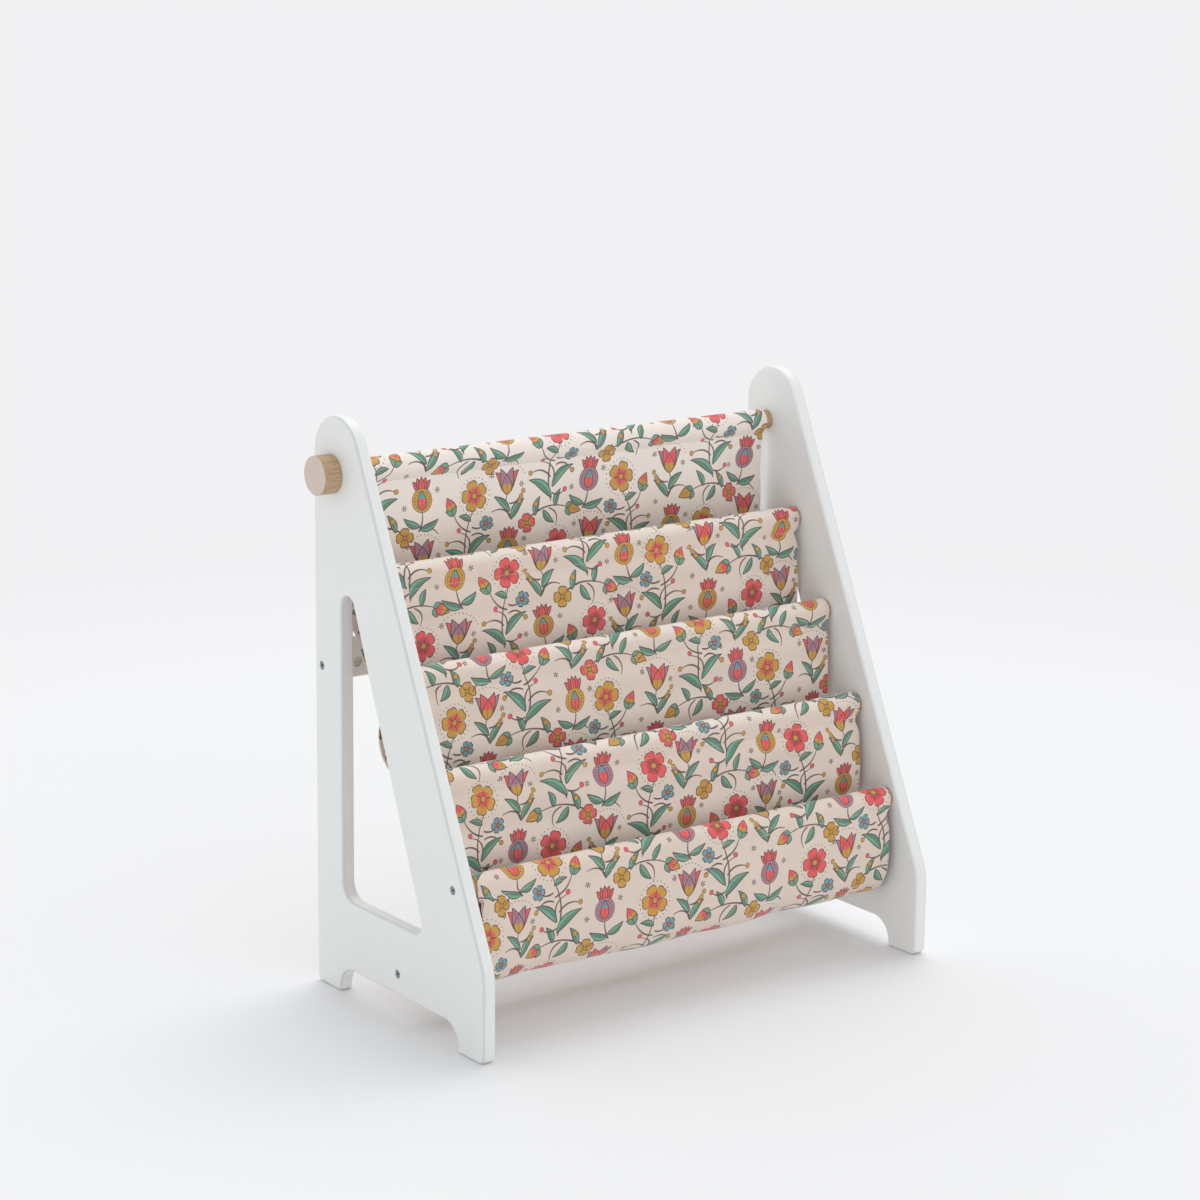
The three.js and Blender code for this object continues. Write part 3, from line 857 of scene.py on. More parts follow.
STUD_ROD_DEPTH = 0.026
SCREW_LENGTH = 0.042
rod_rule = make_rod_rule()
stud_hole = (STUD_RADIUS, STUD_ROD_DEPTH)
screw_hole = (SHANK_RADIUS, SCREW_LENGTH - (head_face - rod_end))
rod_plans = [
    ("top_rod", (0.150, 0.560), stud_hole),
    ("front_rod_2", (0.105, 0.415), None),
    ("front_rod_3", (-0.022, 0.372), None),
    ("front_rod_4", (-0.085, 0.290), None),
    ("front_rod_5", (-0.080, 0.120), screw_hole),
    ("lower_stretcher", (0.030, 0.085), screw_hole),
]

for (node, pith, end_hole), place in zip(rod_plans, [*rod_places, stretcher_place]):
    wood = make_beech(f"beech_{node}", pith, rod_end)
    rod = grown(f"{node}_wood", rod_rule, bpy.data.meshes.new("start"), Radius=rod_radius,
                Half_Length=rod_end, Chamfer=ROD_CHAMFER, Place=place, Material=wood)
    if end_hole:
        radius, depth = end_hole
        rod = cut(rod, [
            turned_mesh("cutter", bored(way * (rod_end + OVERRUN), way * (rod_end - depth - FIT), radius),
                        place.y, place.z) for way in (-1, 1)
        ])
    rod = finished(rod, wood)
    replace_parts(rod, node)
    print(rod.name, len(rod.data.polygons), "faces")

# %% [markdown]
# The knobs look like handles, but they are fixed caps on the ends of the top rod. Each is a
# short turned cylinder with a small rounding on its outer rim and a blind bore for the stud
# behind. The profile runs from the face round the rim, along the side and into the bore.

# %% Knobs
KNOB_EDGE = 0.0012
KNOB_SIDES = 96
KNOB_PITH = (0.012, 0.026)
STUD_KNOB_DEPTH = 0.013

for side_name, side in SIDES:
    low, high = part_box(f"knob_{side_name}")
    base, face = (high.x, low.x) if side < 0 else (low.x, high.x)
    place = (low + high) / 2
    knob_radius = (high.z - low.z) / 2
    profile = [
        (face, 0),
        *eased(face, knob_radius, -side, KNOB_EDGE),
        *reversed(eased(base, knob_radius, side, KNOB_EDGE, 3)),
        *bored(base, base + side * (STUD_KNOB_DEPTH + FIT), STUD_RADIUS)[1:],
    ]
    pith = (place.y - side * KNOB_PITH[0], place.z - KNOB_PITH[1])
    wood = make_beech(f"beech_knob_{side_name}", pith, abs(face))
    knob = new_object(f"turned_knob_{side_name}", turned_mesh("knob", profile, place.y, place.z, KNOB_SIDES))
    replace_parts(finished(knob, wood), f"knob_{side_name}")

print("knob radius", round(knob_radius, 4))

# %% [markdown]
# The four wood screws and two rail bolts have the same head: a flat disc with a cross recess,
# sunk a hair under the lacquer. One of each is turned and recessed as a master, and Geometry
# Nodes put a copy at every place. A seed turns each one to the angle that the driver left.

# %% Screws and bolts
RECESS_DEPTH = 0.0021
RECESS_WIDTH = 0.0013
RECESS_REACH = 0.0027
RECESS_BOTTOM_REACH = 0.45
RECESS_BOTTOM_WIDTH = 0.78
TIP_LENGTH = 0.005
TIP_RADIUS = 0.0008
HEAD_EDGE = 0.0006
FASTENER_SIDES = 40


def cross_recess():
    """Two tapered bars, crossed, that cut a driver's recess into a head at x = 0."""
    tools = []
    for turned_by in (0, math.pi / 2):
        corners = []
        bottom = (RECESS_DEPTH, RECESS_BOTTOM_REACH, RECESS_BOTTOM_WIDTH)
        for x, reach, width in ((-OVERRUN, 1, 1), bottom):
            for y, z in ((-1, -1), (1, -1), (1, 1), (-1, 1)):
                corners.append((x, y * RECESS_REACH * reach, z * RECESS_WIDTH / 2 * width))
        faces = [(0, 1, 2, 3), (7, 6, 5, 4), *[(i, i + 4, (i + 1) % 4 + 4, (i + 1) % 4) for i in range(4)]]
        tool = mesh_from("cutter", corners, faces)
        tool.transform(Matrix.Rotation(turned_by + math.pi / 4, 4, "X"))
        tools.append(welded(tool))
    return tools


def fastener(name, length, tip_length, tip_radius):
    """A screw that lies along X, its head's face at x = 0."""
    profile = [(0, 0), *eased(0, HEAD_RADIUS, 1, HEAD_EDGE, 3), (HEAD_THICKNESS, HEAD_RADIUS)]
    profile += [(HEAD_THICKNESS, SHANK_RADIUS), (length - tip_length, SHANK_RADIUS)]
    profile += [(length, tip_radius), (length, 0)]
    blank = new_object(name, turned_mesh(name, profile, 0, 0, FASTENER_SIDES))
    return cut(blank, cross_recess())


def make_fastener_rule():
    tree, given = new_rule("fastener_rule", Master="Object", Seed="Int")
    x, _, _ = parts_of(node_of(tree, "GeometryNodeInputPosition")["Position"])
    spin = tree.nodes.new("FunctionNodeRandomValue")
    fill(spin, {"Max": math.pi, "Seed": given["Seed"]})
    facing = x.math("GREATER_THAN", 0.0) * math.pi
    turn = vector_of(tree, Wire(tree, spin.outputs[1]), 0.0, facing)
    return copied(given["Geometry"], given, turn)


fastener_rule = make_fastener_rule()
for name, master, spots, stems, seed in (
    ("wood_screws", fastener("screw_master", SCREW_LENGTH, TIP_LENGTH, TIP_RADIUS),
     (rod_places[4], stretcher_place), ("rod_screw", "stretcher_screw"), 4),
    ("rail_bolts", fastener("bolt_master", BOLT_LENGTH, 0.0, SHANK_RADIUS), (bolt_place,), ("rail_bolt",), 9),
):
    points = [(side * head_face, spot.y, spot.z) for side in (-1, 1) for spot in spots]
    placed = grown(name, fastener_rule, mesh_from("points", points, []),
                   Master=master, Seed=seed, Material=zinc)
    bpy.data.objects.remove(master)
    placed = finished(placed, zinc)
    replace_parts(placed, *[f"{stem}_{side_name}" for stem in stems for side_name in ("left", "right")])
    print(name, len(placed.data.polygons), "faces")

# %% [markdown]
# Each bolt ends in a barrel nut: a short steel pin that lies across the rail, threaded
# through, with a slot in its end so that a screwdriver can line it up.

# %% Barrel nuts
NUT_EDGE = 0.0006
NUT_SIDES = 48
NUT_THREAD_REACH = 0.007
SLOT_WIDTH = 0.0012
SLOT_DEPTH = 0.0012
SLOT_LENGTH = 0.02

for side_name, side in SIDES:
    low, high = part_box(f"barrel_nut_{side_name}")
    centre = (low + high) / 2
    half = (high.y - low.y) / 2
    profile = [
        (-half, 0), *eased(-half, NUT_RADIUS, 1, NUT_EDGE, 3),
        *reversed(eased(half, NUT_RADIUS, -1, NUT_EDGE, 3)), (half, 0),
    ]
    pin = turned_mesh("nut", profile, 0, 0, NUT_SIDES)
    pin.transform(Matrix.Translation(centre) @ QUARTER_TURN)
    thread_hole = turned_mesh(
        "cutter", bored(centre.x - NUT_THREAD_REACH, centre.x + NUT_THREAD_REACH, SHANK_RADIUS),
        centre.y, centre.z)
    slot_box = bmesh.new()
    bmesh.ops.create_cube(slot_box, size=1)
    slot_mesh = bpy.data.meshes.new("cutter")
    slot_box.to_mesh(slot_mesh)
    slot_box.free()
    slot_size = Matrix.Diagonal((SLOT_LENGTH, SLOT_DEPTH * 2, SLOT_WIDTH, 1))
    slot_mesh.transform(Matrix.Translation((centre.x, low.y, centre.z)) @ slot_size)
    nut = cut(new_object(f"slotted_nut_{side_name}", pin), [thread_hole, slot_mesh])
    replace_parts(finished(nut, lit_nut_zinc), f"barrel_nut_{side_name}")

# %% [markdown]
# The studs in the knobs and the rail's dowels are hidden inside wood. Their CAD solids have
# the right shape, so they stay and only get their finish.

# %% Hidden studs and dowels
DOWEL_PITH = (0.16, 0.31)

dowel_wood = make_beech("beech_dowels", DOWEL_PITH, inner_face + DOWEL_DEPTH)
for node, metal in (("knob_stud", True), ("rail_dowel", False)):
    for side_name in ("left", "right"):
        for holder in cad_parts[f"{node}_{side_name}"].material_slots:
            holder.link = "OBJECT"
            holder.material = zinc if metal else dowel_wood

# %% [markdown]
# The sling is one strip of doubled cotton, 53 cm wide and more than a metre and a half long.
# Seen from the side it is a single line: up the back of a rod, over it, down as a pocket's
# back sheet, round the belly and up to the seam under the next rod. That line repeats the one
# in the CAD source, from the same sizes, so each layer lies where its solid lies.

# %% The sling's line from the side
CLOTH_THICKNESS = 0.0014
TUNNEL_EASE = 0.0006
LAYER_EASE = 0.0007
SEAM_DROP = 0.0135
FRONT_WALL_LEVEL = 0.038
BELLY_RADIUS = 0.035
BELLY_DROP = 0.071
BELLY_SETBACK = 0.021
HEM_TAIL = 0.012
SEAM_HANDLE = 0.3
WALL_HANDLE = 0.7
SHEET_HANDLE = 0.4
PRESSED_BELLY = 0.5
FIRST_ENTRY_TURN = 0.02
ENTRY_TURN = 0.085
LAST_TOUCH_TURN = 0.03
SEAM_FORWARD = (0.003, 0.009, 0.009, 0.009)
CURVE_STEPS = 48
HEM_START = 0.0105
HEM_STEPS = 20

HALF_CLOTH = CLOTH_THICKNESS / 2
LAYER_PITCH = CLOTH_THICKNESS + LAYER_EASE
tunnel_radius = rod_radius + TUNNEL_EASE + HALF_CLOTH
axes = [np.array((place.y, place.z)) for place in rod_places]
UPWARDS = np.array((0.0, 1.0))
DOWNWARDS = -UPWARDS


def bezier(a, b, c, d):
    t = np.linspace(0, 1, CURVE_STEPS + 1)[:, None]
    return (1 - t) ** 3 * a + 3 * (1 - t) ** 2 * t * b + 3 * (1 - t) * t ** 2 * c + t ** 3 * d


def bend(start, start_heading, end, end_heading, handle_share):
    handle = np.linalg.norm(end - start) * handle_share
    return bezier(start, start + start_heading * handle, end - end_heading * handle, end)


def arc(centre, radius, start, end):
    angles = np.linspace(start, end, CURVE_STEPS + 1)
    return centre + radius * np.stack((np.cos(angles), np.sin(angles)), 1)


def beside(points, distance):
    """A line moved sideways, to the right of the way it runs."""
    headings = np.diff(points, axis=0)
    headings /= np.linalg.norm(headings, axis=1)[:, None]
    arriving = np.vstack((headings[:1], headings))
    leaving = np.vstack((headings, headings[-1:]))
    along = arriving + leaving
    along /= np.linalg.norm(along, axis=1)[:, None]
    mitre = distance / (along * leaving).sum(1)
    return points + mitre[:, None] * np.stack((along[:, 1], -along[:, 0]), 1)


def seam_point(index, way):
    """Where the front (-1) or rear (1) layer of a tunnel passes through its seam."""
    return axes[index] + (way * LAYER_PITCH / 2 - SEAM_FORWARD[index], -SEAM_DROP)


def touch_angle(index, way):
    """Angle on the rod at which a layer that comes from its seam first touches."""
    y, z = seam_point(index, way) - axes[index]
    return math.atan2(z, y) + way * math.acos(tunnel_radius / math.hypot(y, z))


def tunnel_line(index):
    turns = arc(axes[index], tunnel_radius, touch_angle(index, 1), touch_angle(index, -1) + 2 * math.pi)
    return np.vstack((seam_point(index, 1), turns, seam_point(index, -1)))


def wall_foot(axis):
    y = BELLY_SETBACK - BELLY_RADIUS
    return axis + (y, -BELLY_DROP), axis + (y, -FRONT_WALL_LEVEL)


def front_wall_line(index):
    foot, top = wall_foot(axes[index])
    seam = seam_point(index, 1)
    rise = np.linalg.norm(seam - top)
    curve = bezier(top, top + UPWARDS * rise * WALL_HANDLE, seam + DOWNWARDS * rise * SEAM_HANDLE, seam)
    return np.vstack((foot, (foot + top) / 2, curve))


def last_wall_line(index):
    axis = axes[index]
    foot, top = wall_foot(axis)
    turn = math.pi * (1 + LAST_TOUCH_TURN)
    heading = np.array((math.sin(turn), -math.cos(turn)))
    touch = axis + tunnel_radius * np.array((math.cos(turn), math.sin(turn)))
    return np.vstack((foot, (foot + top) / 2, bend(top, UPWARDS, touch, heading, SHEET_HANDLE)))


def hem_line(index):
    axis = axes[index]
    tail = beside(last_wall_line(index), LAYER_PITCH)[2:-1][::-1]
    tail = tail[axis[1] - tail[:, 1] > HEM_START]
    from_rod = tail[0] - axis
    reach = np.linalg.norm(from_rod)
    rear = math.atan2(from_rod[1], from_rod[0]) + math.acos(tunnel_radius / reach)
    turn = math.pi * (1 + LAST_TOUCH_TURN)
    return np.vstack((arc(axis, tunnel_radius, turn, rear), tail[:HEM_STEPS]))


def belly_line(axis, entry):
    return arc(axis + (BELLY_SETBACK, -BELLY_DROP), BELLY_RADIUS, entry, -math.pi)


def back_sheet_line(index, entry):
    axis = axes[index]
    start = belly_line(axes[index + 1], entry)[0]
    heading = np.array((math.sin(entry), -math.cos(entry)))
    if index == 0:
        return bend(seam_point(0, -1), DOWNWARDS, start, heading, SHEET_HANDLE)
    wall = beside(front_wall_line(index), -LAYER_PITCH)[::-1]
    drop = BELLY_DROP + BELLY_RADIUS * PRESSED_BELLY
    pressed = axis + (BELLY_SETBACK - BELLY_RADIUS - LAYER_PITCH, -drop)
    return np.vstack((wall, bend(pressed, DOWNWARDS, start, heading, SHEET_HANDLE)))


def sling_line():
    """The whole strip's line, and each seam's place on it with the side that its stitches are on."""
    stretches = [seam_point(0, 1) + DOWNWARDS * HEM_TAIL]
    seams = []
    for index in range(4):
        entry = 2 * math.pi * (FIRST_ENTRY_TURN if index == 0 else ENTRY_TURN)
        tunnel = tunnel_line(index)
        seams += [(tunnel[0], 1), (tunnel[-1], 1)]
        wall = (last_wall_line if index == 3 else front_wall_line)(index + 1)
        stretches += [tunnel, back_sheet_line(index, entry), belly_line(axes[index + 1], entry), wall]
    hem = hem_line(4)
    stretches.append(hem)
    seams += [(wall[-1 - HEM_STEPS // 2], -1), (hem[CURVE_STEPS + HEM_STEPS // 2], -1)]
    points = np.vstack(stretches)
    fresh = np.append(True, np.linalg.norm(np.diff(points, axis=0), axis=1) > WELD)
    return points[fresh], seams


line, seam_spots = sling_line()
line_length = np.append(0, np.cumsum(np.linalg.norm(np.diff(line, axis=0), axis=1)))
seams = [(line_length[np.argmin(np.linalg.norm(line - spot, axis=1))], way) for spot, way in seam_spots]
print("cloth from hem to hem:", round(float(line_length[-1]), 3), "m, seams:", len(seams))

# %% [markdown]
# The line is cut into rows, closer together where it turns and at the seams, and every row is
# a strand across the width. A strand is not straight. It drops into shallow folds that grow
# away from the rods, it puckers under each seam where the thread draws the cloth in, and the
# side edges pull in below a rod and come out again lower down. These are sums of sines with
# fixed phases, all read from the place in space and not from the layer, so that two layers
# that lie on each other move together and never cross.

# %% Folds, puckers and edges
CLOTH_HALF_WIDTH = 0.2645
RIGHT_END_TOP = -0.002
RIGHT_END_LOW = 0.0026
WAIST_PULL = 0.0058
SLACKENED = 0.4
FOOT_PULL = 0.0022
RELEASED = 0.7
FIRST_POCKET_PULL = 0.0075
FIRST_POCKET_LIFT = 0.006
EDGE_SETBACK = 0.0015
FOLD_DEPTH = 0.002
FOLD_PITCH = 0.265
FOLD_LEAN = 0.420
BELLY_SAG = 0.0025
PUCKER_DEPTH = 0.0011
PUCKER_REACH = 0.019
RIPPLE_DEPTH = 0.0011
PUCKER_PITCHES = (0.013, 0.046)
RIPPLE_PITCHES = (0.07, 0.19)
RIPPLE_LEANS = (-0.8, 0.8)
WAVE_SEED = 41

BELOW_TOP_ROD = (0.041, 0.085)
WAIST_FROM = (0.0125, 0.019)
WAIST_SLACKENS = (0.021, 0.034)
FOOT_FROM = (0.05, 0.085)
EDGE_FROM = (0.72, 1)
REAR_SHEET_FREE = (0.04, 0.07)
FIRST_POCKET_REAR = (0.075, 0.108)
FIRST_POCKET_LOW = (-0.383, -0.362)
PUCKER_FROM = (0.0116, 0.024)
SETBACK_FROM = (0.02, 0.045)
SETBACK_FADE = 0.008

ROW_STEP = 0.0095
TURN_STEP = math.radians(18)
SHARPEST_TURN = 400
SEAM_STEP = 0.0014
SEAM_SPREAD = 0.003
COUNTING_STEP = 0.0005
COLUMNS = 104

chance = np.random.default_rng(WAVE_SEED)
pucker_waves = [
    (chance.uniform(*PUCKER_PITCHES), chance.uniform(0, 2 * math.pi, len(axes))) for _ in range(6)]
ripple_waves = [
    (chance.uniform(*RIPPLE_PITCHES), chance.uniform(*RIPPLE_LEANS), chance.uniform(0, 6.3))
    for _ in range(5)
]


def smooth_step(value, low, high):
    share = np.clip((value - low) / (high - low), 0, 1)
    return share * share * (3 - 2 * share)


def rows_of(line, lengths):
    """Row places along the cloth, denser in turns and beside seams."""
    headings = np.unwrap(np.arctan2(*np.diff(line, axis=0).T[::-1]))
    turning = np.zeros(len(line))
    turning[1:-1] = np.abs(np.diff(headings)) / ((lengths[2:] - lengths[:-2]) / 2)
    density = 1 / ROW_STEP + np.minimum(turning, SHARPEST_TURN) / TURN_STEP
    for seam, _ in seams:
        density += np.exp(-((lengths - seam) / SEAM_SPREAD) ** 2) / SEAM_STEP
    even = np.arange(0, lengths[-1], COUNTING_STEP)
    weight = np.interp(even, lengths, density)
    total = np.append(0, np.cumsum((weight[1:] + weight[:-1]) / 2 * COUNTING_STEP))
    count = int(total[-1]) + 1
    places = np.interp(np.linspace(0, total[-1], count), total, even)
    for seam, _ in seams:
        places[np.argmin(np.abs(places - seam))] = seam
    places[-1] = lengths[-1]
    return places


rows = rows_of(line, line_length)
row_points = np.stack([np.interp(rows, line_length, line[:, axis]) for axis in (0, 1)], 1)
print("rows:", len(rows), "columns:", COLUMNS)

# %% [markdown]
# Now each row becomes a strand. `near` is the distance from the closest rod, `u` runs from -1
# at the left edge to 1 at the right one, and smooth steps of these say where the side edges
# pull in, where the folds start and how far the puckers reach.

# %% How a strand hangs
slope = axes[4] - axes[1]
rearwards = np.array((-slope[1], slope[0])) / np.linalg.norm(slope)


def hang(across, points):
    """Strands at shares across (-1 to 1) through row points (y, z), as an array of places."""
    u, y = np.meshgrid(across, points[:, 0])
    _, z = np.meshgrid(across, points[:, 1])
    spans = np.stack([np.hypot(y - axis[0], z - axis[1]) for axis in axes])
    near = spans.min(0)
    own = spans.argmin(0)
    lower = smooth_step(-z, *(drop - axes[0][1] for drop in BELOW_TOP_ROD))
    right_end = RIGHT_END_TOP + (RIGHT_END_LOW - RIGHT_END_TOP) * lower
    waist = smooth_step(near, *WAIST_FROM) * (1 - SLACKENED * smooth_step(near, *WAIST_SLACKENS))
    first = smooth_step(y, *FIRST_POCKET_REAR) * smooth_step(-z, *FIRST_POCKET_LOW)
    behind = (y - axes[1][0]) * rearwards[0] + (z - axes[1][1]) * rearwards[1]
    held = lower * (1 - RELEASED * smooth_step(behind, *REAR_SHEET_FREE))
    edge = smooth_step(np.abs(u), *EDGE_FROM)
    pull = held * (WAIST_PULL * waist + FOOT_PULL * smooth_step(near, *FOOT_FROM))
    pull = pull + FIRST_POCKET_PULL * first
    x = u * (CLOTH_HALF_WIDTH - pull * edge) + right_end * (1 + u) / 2
    loose = smooth_step(near, SEAM_DROP, BELLY_DROP)
    fold = FOLD_DEPTH * np.sin(2 * math.pi * (x / FOLD_PITCH + y / FOLD_LEAN))
    ripple = sum(
        np.sin(2 * math.pi * (x + lean * z) / pitch + phase) for pitch, lean, phase in ripple_waves)
    drawn = smooth_step(near, *PUCKER_FROM) * np.exp(-(near - SEAM_DROP) / PUCKER_REACH)
    pucker = sum(np.sin(2 * math.pi * x / pitch + phases[own]) for pitch, phases in pucker_waves)
    push = loose * (fold + RIPPLE_DEPTH * ripple) + drawn * PUCKER_DEPTH * pucker / 2
    sag = BELLY_SAG * loose * (1 - (x / CLOTH_HALF_WIDTH) ** 2)
    rod_y = np.array([axis[0] for axis in axes])[own]
    ahead = smooth_step(-y, -rod_y, -rod_y + SETBACK_FADE)
    slack = EDGE_SETBACK * edge * smooth_step(near, *SETBACK_FROM) * ahead
    slack = slack - FIRST_POCKET_LIFT * first * edge
    return np.stack((x, y + push + slack, z - sag), 2)


# %% [markdown]
# From the middle surface the cloth gets its two faces, each half a thickness out along the
# true normal, so the thickness stays even in every fold. The side edges are turned in and
# sewn, so they are a little thicker than the rest and round. The strip is closed at both ends.
#
# It carries two UV maps. "cloth" is each face laid flat in metres, which the weave and the
# print read. The two faces are printed head to foot, so the flowers stand upright on the
# sheets that hang down and on the last wall that comes up. "OFBake" is the whole strip
# unrolled into one square, for baking.

# %% The sling
EDGE_BEAD = 0.00035
BEAD_WIDTH = 0.004
RIM_STEPS = 4
SEAM_PINCH = 0.0003
PINCH_REACH = 0.0016
CAP_SHARE = 0.002
CAP_FILL = 0.8
CAP_FROM_TOP = 0.9
REVERSE_SHIFT = 0.037


def unit(vectors):
    return vectors / np.linalg.norm(vectors, axis=-1, keepdims=True)


def sling_rings():
    """Rings of places round the strip, one for each row, and how far round it each place is."""
    u = np.linspace(-1, 1, COLUMNS + 1)
    sheet = hang(u, row_points)
    normals = unit(np.cross(np.gradient(sheet, axis=0), np.gradient(sheet, axis=1)))
    sideways = unit(np.gradient(sheet, axis=1))
    to_edge = np.abs(sheet[:, -1:, 0]) - np.abs(sheet[:, :, 0])
    away = np.abs(rows[:, None] - np.array([place for place, _ in seams])).min(1)
    half = HALF_CLOTH + EDGE_BEAD * (1 - smooth_step(to_edge, 0, BEAD_WIDTH))
    half = (half - SEAM_PINCH * np.exp(-(away / PINCH_REACH) ** 2)[:, None])[:, :, None]
    turns = [math.pi * step / RIM_STEPS for step in range(1, RIM_STEPS)]

    def rim_at(edge, way, turn):
        out = normals[:, edge] * math.cos(turn) + way * sideways[:, edge] * math.sin(turn)
        return sheet[:, edge] + half[:, edge] * out

    rims = [np.stack([rim_at(edge, way, turn) for turn in turns], 1) for edge, way in ((-1, 1), (0, -1))]
    front = sheet + normals * half
    rear = (sheet - normals * half)[:, ::-1]
    places = np.concatenate((front, rims[0], rear, rims[1][:, ::-1]), 1)
    rim = [HALF_CLOTH * t for t in turns]
    span = CLOTH_HALF_WIDTH
    edge = HALF_CLOTH * math.pi
    round_it = [*(u * span), *(span + step for step in rim), *(2 * span + edge + u * span)]
    round_it += [3 * span + edge + step for step in [*rim, edge]]
    return places, np.array(round_it) + span


def sling_mesh():
    """The strip with its UV maps, and the rings that the stitches follow."""
    places, round_it = sling_rings()
    ring = places.shape[1]
    row, place = np.meshgrid(np.arange(len(rows) - 1), np.arange(ring), indexing="ij")
    row, place = row.ravel(), place.ravel()
    row_steps, ring_steps = (0, 0, 1, 1), (0, 1, 1, 0)
    faces = np.stack([(row + a) * ring + (place + b) % ring for a, b in zip(row_steps, ring_steps)], 1)
    u = np.stack([round_it[place + b] for b in ring_steps], 1)
    v = np.stack([rows[row + a] for a in row_steps], 1)
    front_end, rear_end = COLUMNS + RIM_STEPS, 2 * COLUMNS + RIM_STEPS
    is_rear = ((place >= front_end) & (place < rear_end))[:, None]
    is_left = (place >= rear_end)[:, None]
    print_x = np.where(is_left, u - round_it[-1], u)
    print_x = np.where(is_rear, REVERSE_SHIFT + round_it[rear_end] - u, print_x)
    print_y = np.where(is_rear, v, -v)
    column = np.arange(COLUMNS)
    facing = rear_end - column
    caps = np.stack((column + 1, facing - 1, facing, column), 1)
    caps = np.vstack((caps, caps[:, ::-1] + (len(rows) - 1) * ring))
    cap_u = np.stack((column + 1, column + 1, column, column), 1) / COLUMNS
    cap_u = np.vstack((cap_u, cap_u[:, ::-1])) * round_it[COLUMNS]
    cap_v = np.repeat(((0, 1, 1, 0), (0, 1, 1, 0)), COLUMNS, 0) * CLOTH_THICKNESS
    ends = np.repeat((0.0, 1.0), COLUMNS)[:, None]

    mesh = mesh_from("sling", places.reshape(-1, 3), [*faces.tolist(), *caps.tolist()])
    length = rows[-1]
    cloth = np.stack((np.vstack((print_x, cap_u)), np.vstack((print_y, -cap_v - ends * length))), 2)
    in_square = np.stack((
        np.vstack((u, cap_u)) / round_it[-1],
        np.vstack((CAP_SHARE + v / length * (1 - 2 * CAP_SHARE),
                   cap_v / CLOTH_THICKNESS * CAP_SHARE * CAP_FILL + ends * (1 - CAP_SHARE * CAP_FROM_TOP))),
    ), 2)
    for name, flat in (("OFBake", in_square), ("cloth", cloth)):
        layer = mesh.uv_layers.new(name=name)
        layer.data.foreach_set("uv", flat.astype(np.float32).ravel())
    return mesh, places


cloth_mesh, rings = sling_mesh()
sling = new_object("printed_sling", cloth_mesh)
print("sling faces:", len(cloth_mesh.polygons))

# %% [markdown]
# A row of stitches holds every tunnel shut. Each stitch is a short thread that dives into the
# cloth at both ends, and hundreds of the same thing on a path are a job for Geometry Nodes:
# cut the path into stitch lengths, put one small spindle on each point, turned along the path.

# %% Stitches
STITCH_PITCH = 0.0031
STITCH_LENGTH = 0.0025
STITCH_SIDES = 6
STITCH_RINGS = 5
STITCH_FULLNESS = 0.6
THREAD_RADIUS = 0.00024
THREAD_TONES = srgb(214, 196, 184), srgb(236, 222, 212)
STRAND_SCALE = 2600.0


def make_thread():
    material, tree = new_material("pale_thread")
    strands = noise(place_on(tree), STRAND_SCALE, 1.0)
    return coated(material, Base_Color=mixed(strands, *THREAD_TONES), Roughness=0.7 + 0.2 * strands)


def stitch_paths():
    """One curve with a spline along each seam, on the side of the cloth that shows."""
    curve = bpy.data.curves.new("stitch_paths", "CURVE")
    curve.dimensions = "3D"
    rear_start = COLUMNS + RIM_STEPS
    for place, way in seams:
        row = rings[int(np.argmin(np.abs(rows - place)))]
        face = row[:COLUMNS + 1] if way > 0 else row[rear_start:rear_start + COLUMNS + 1][::-1]
        spline = curve.splines.new("POLY")
        spline.points.add(COLUMNS - 2)
        for point, spot in zip(spline.points, face[1:COLUMNS]):
            point.co = (*spot, 1)
    return curve


def stitch_mesh():
    """A spindle that lies along X."""
    half = STITCH_LENGTH / 2
    turns = [math.pi * step / STITCH_RINGS for step in range(1, STITCH_RINGS)]
    body = [(-half * math.cos(turn), THREAD_RADIUS * math.sin(turn) ** STITCH_FULLNESS) for turn in turns]
    return turned_mesh("stitch", [(-half, 0), *body, (half, 0)], 0, 0, STITCH_SIDES)


def make_stitch_rule():
    tree, given = new_rule("stitch_rule", Pitch="Float", Master="Object")
    cut_up = node_of(tree, "GeometryNodeResampleCurve", {"mode": "LENGTH"},
                     Curve=given["Geometry"], Length=given["Pitch"])["Curve"]
    tangent = node_of(tree, "GeometryNodeInputTangent")["Tangent"]
    turn = node_of(tree, "FunctionNodeAlignRotationToVector", {"axis": "X"}, Vector=tangent)
    return copied(cut_up, given, turn["Rotation"])


stitch_master = new_object("stitch_master", stitch_mesh())
stitches = grown("seam_stitches", make_stitch_rule(), stitch_paths(), Pitch=STITCH_PITCH,
                 Master=stitch_master, Material=make_thread())
bpy.data.objects.remove(stitch_master)
stitches.data.shade_smooth()
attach(stitches, "root")
print("stitch faces:", len(stitches.data.polygons))

# %% [markdown]
# The print is a flower pattern of this shelf's own, in the coral, mustard, mauve, teal and
# leaf green of its room. It could be drawn as an image, but arithmetic stays sharp at any
# distance. Every motif sits on the same half-drop grid, as on a printed roll: each column is
# half a repeat lower than the one before. The first group finds the nearest spot of that
# grid and gives the place relative to it, turned and mirrored by chance, in millimetres.

# %% Print: the repeat
REPEAT_ACROSS = 106.0
REPEAT_ALONG = 124.0
FLAT_PLACE = {"X": 0.0, "Y": 0.0}


def rotated(x, y, angle):
    """X and Y turned back by an angle."""
    c = math_node(x.tree, "COSINE", angle)
    s = math_node(x.tree, "SINE", angle)
    return x * c + y * s, y * c - x * s


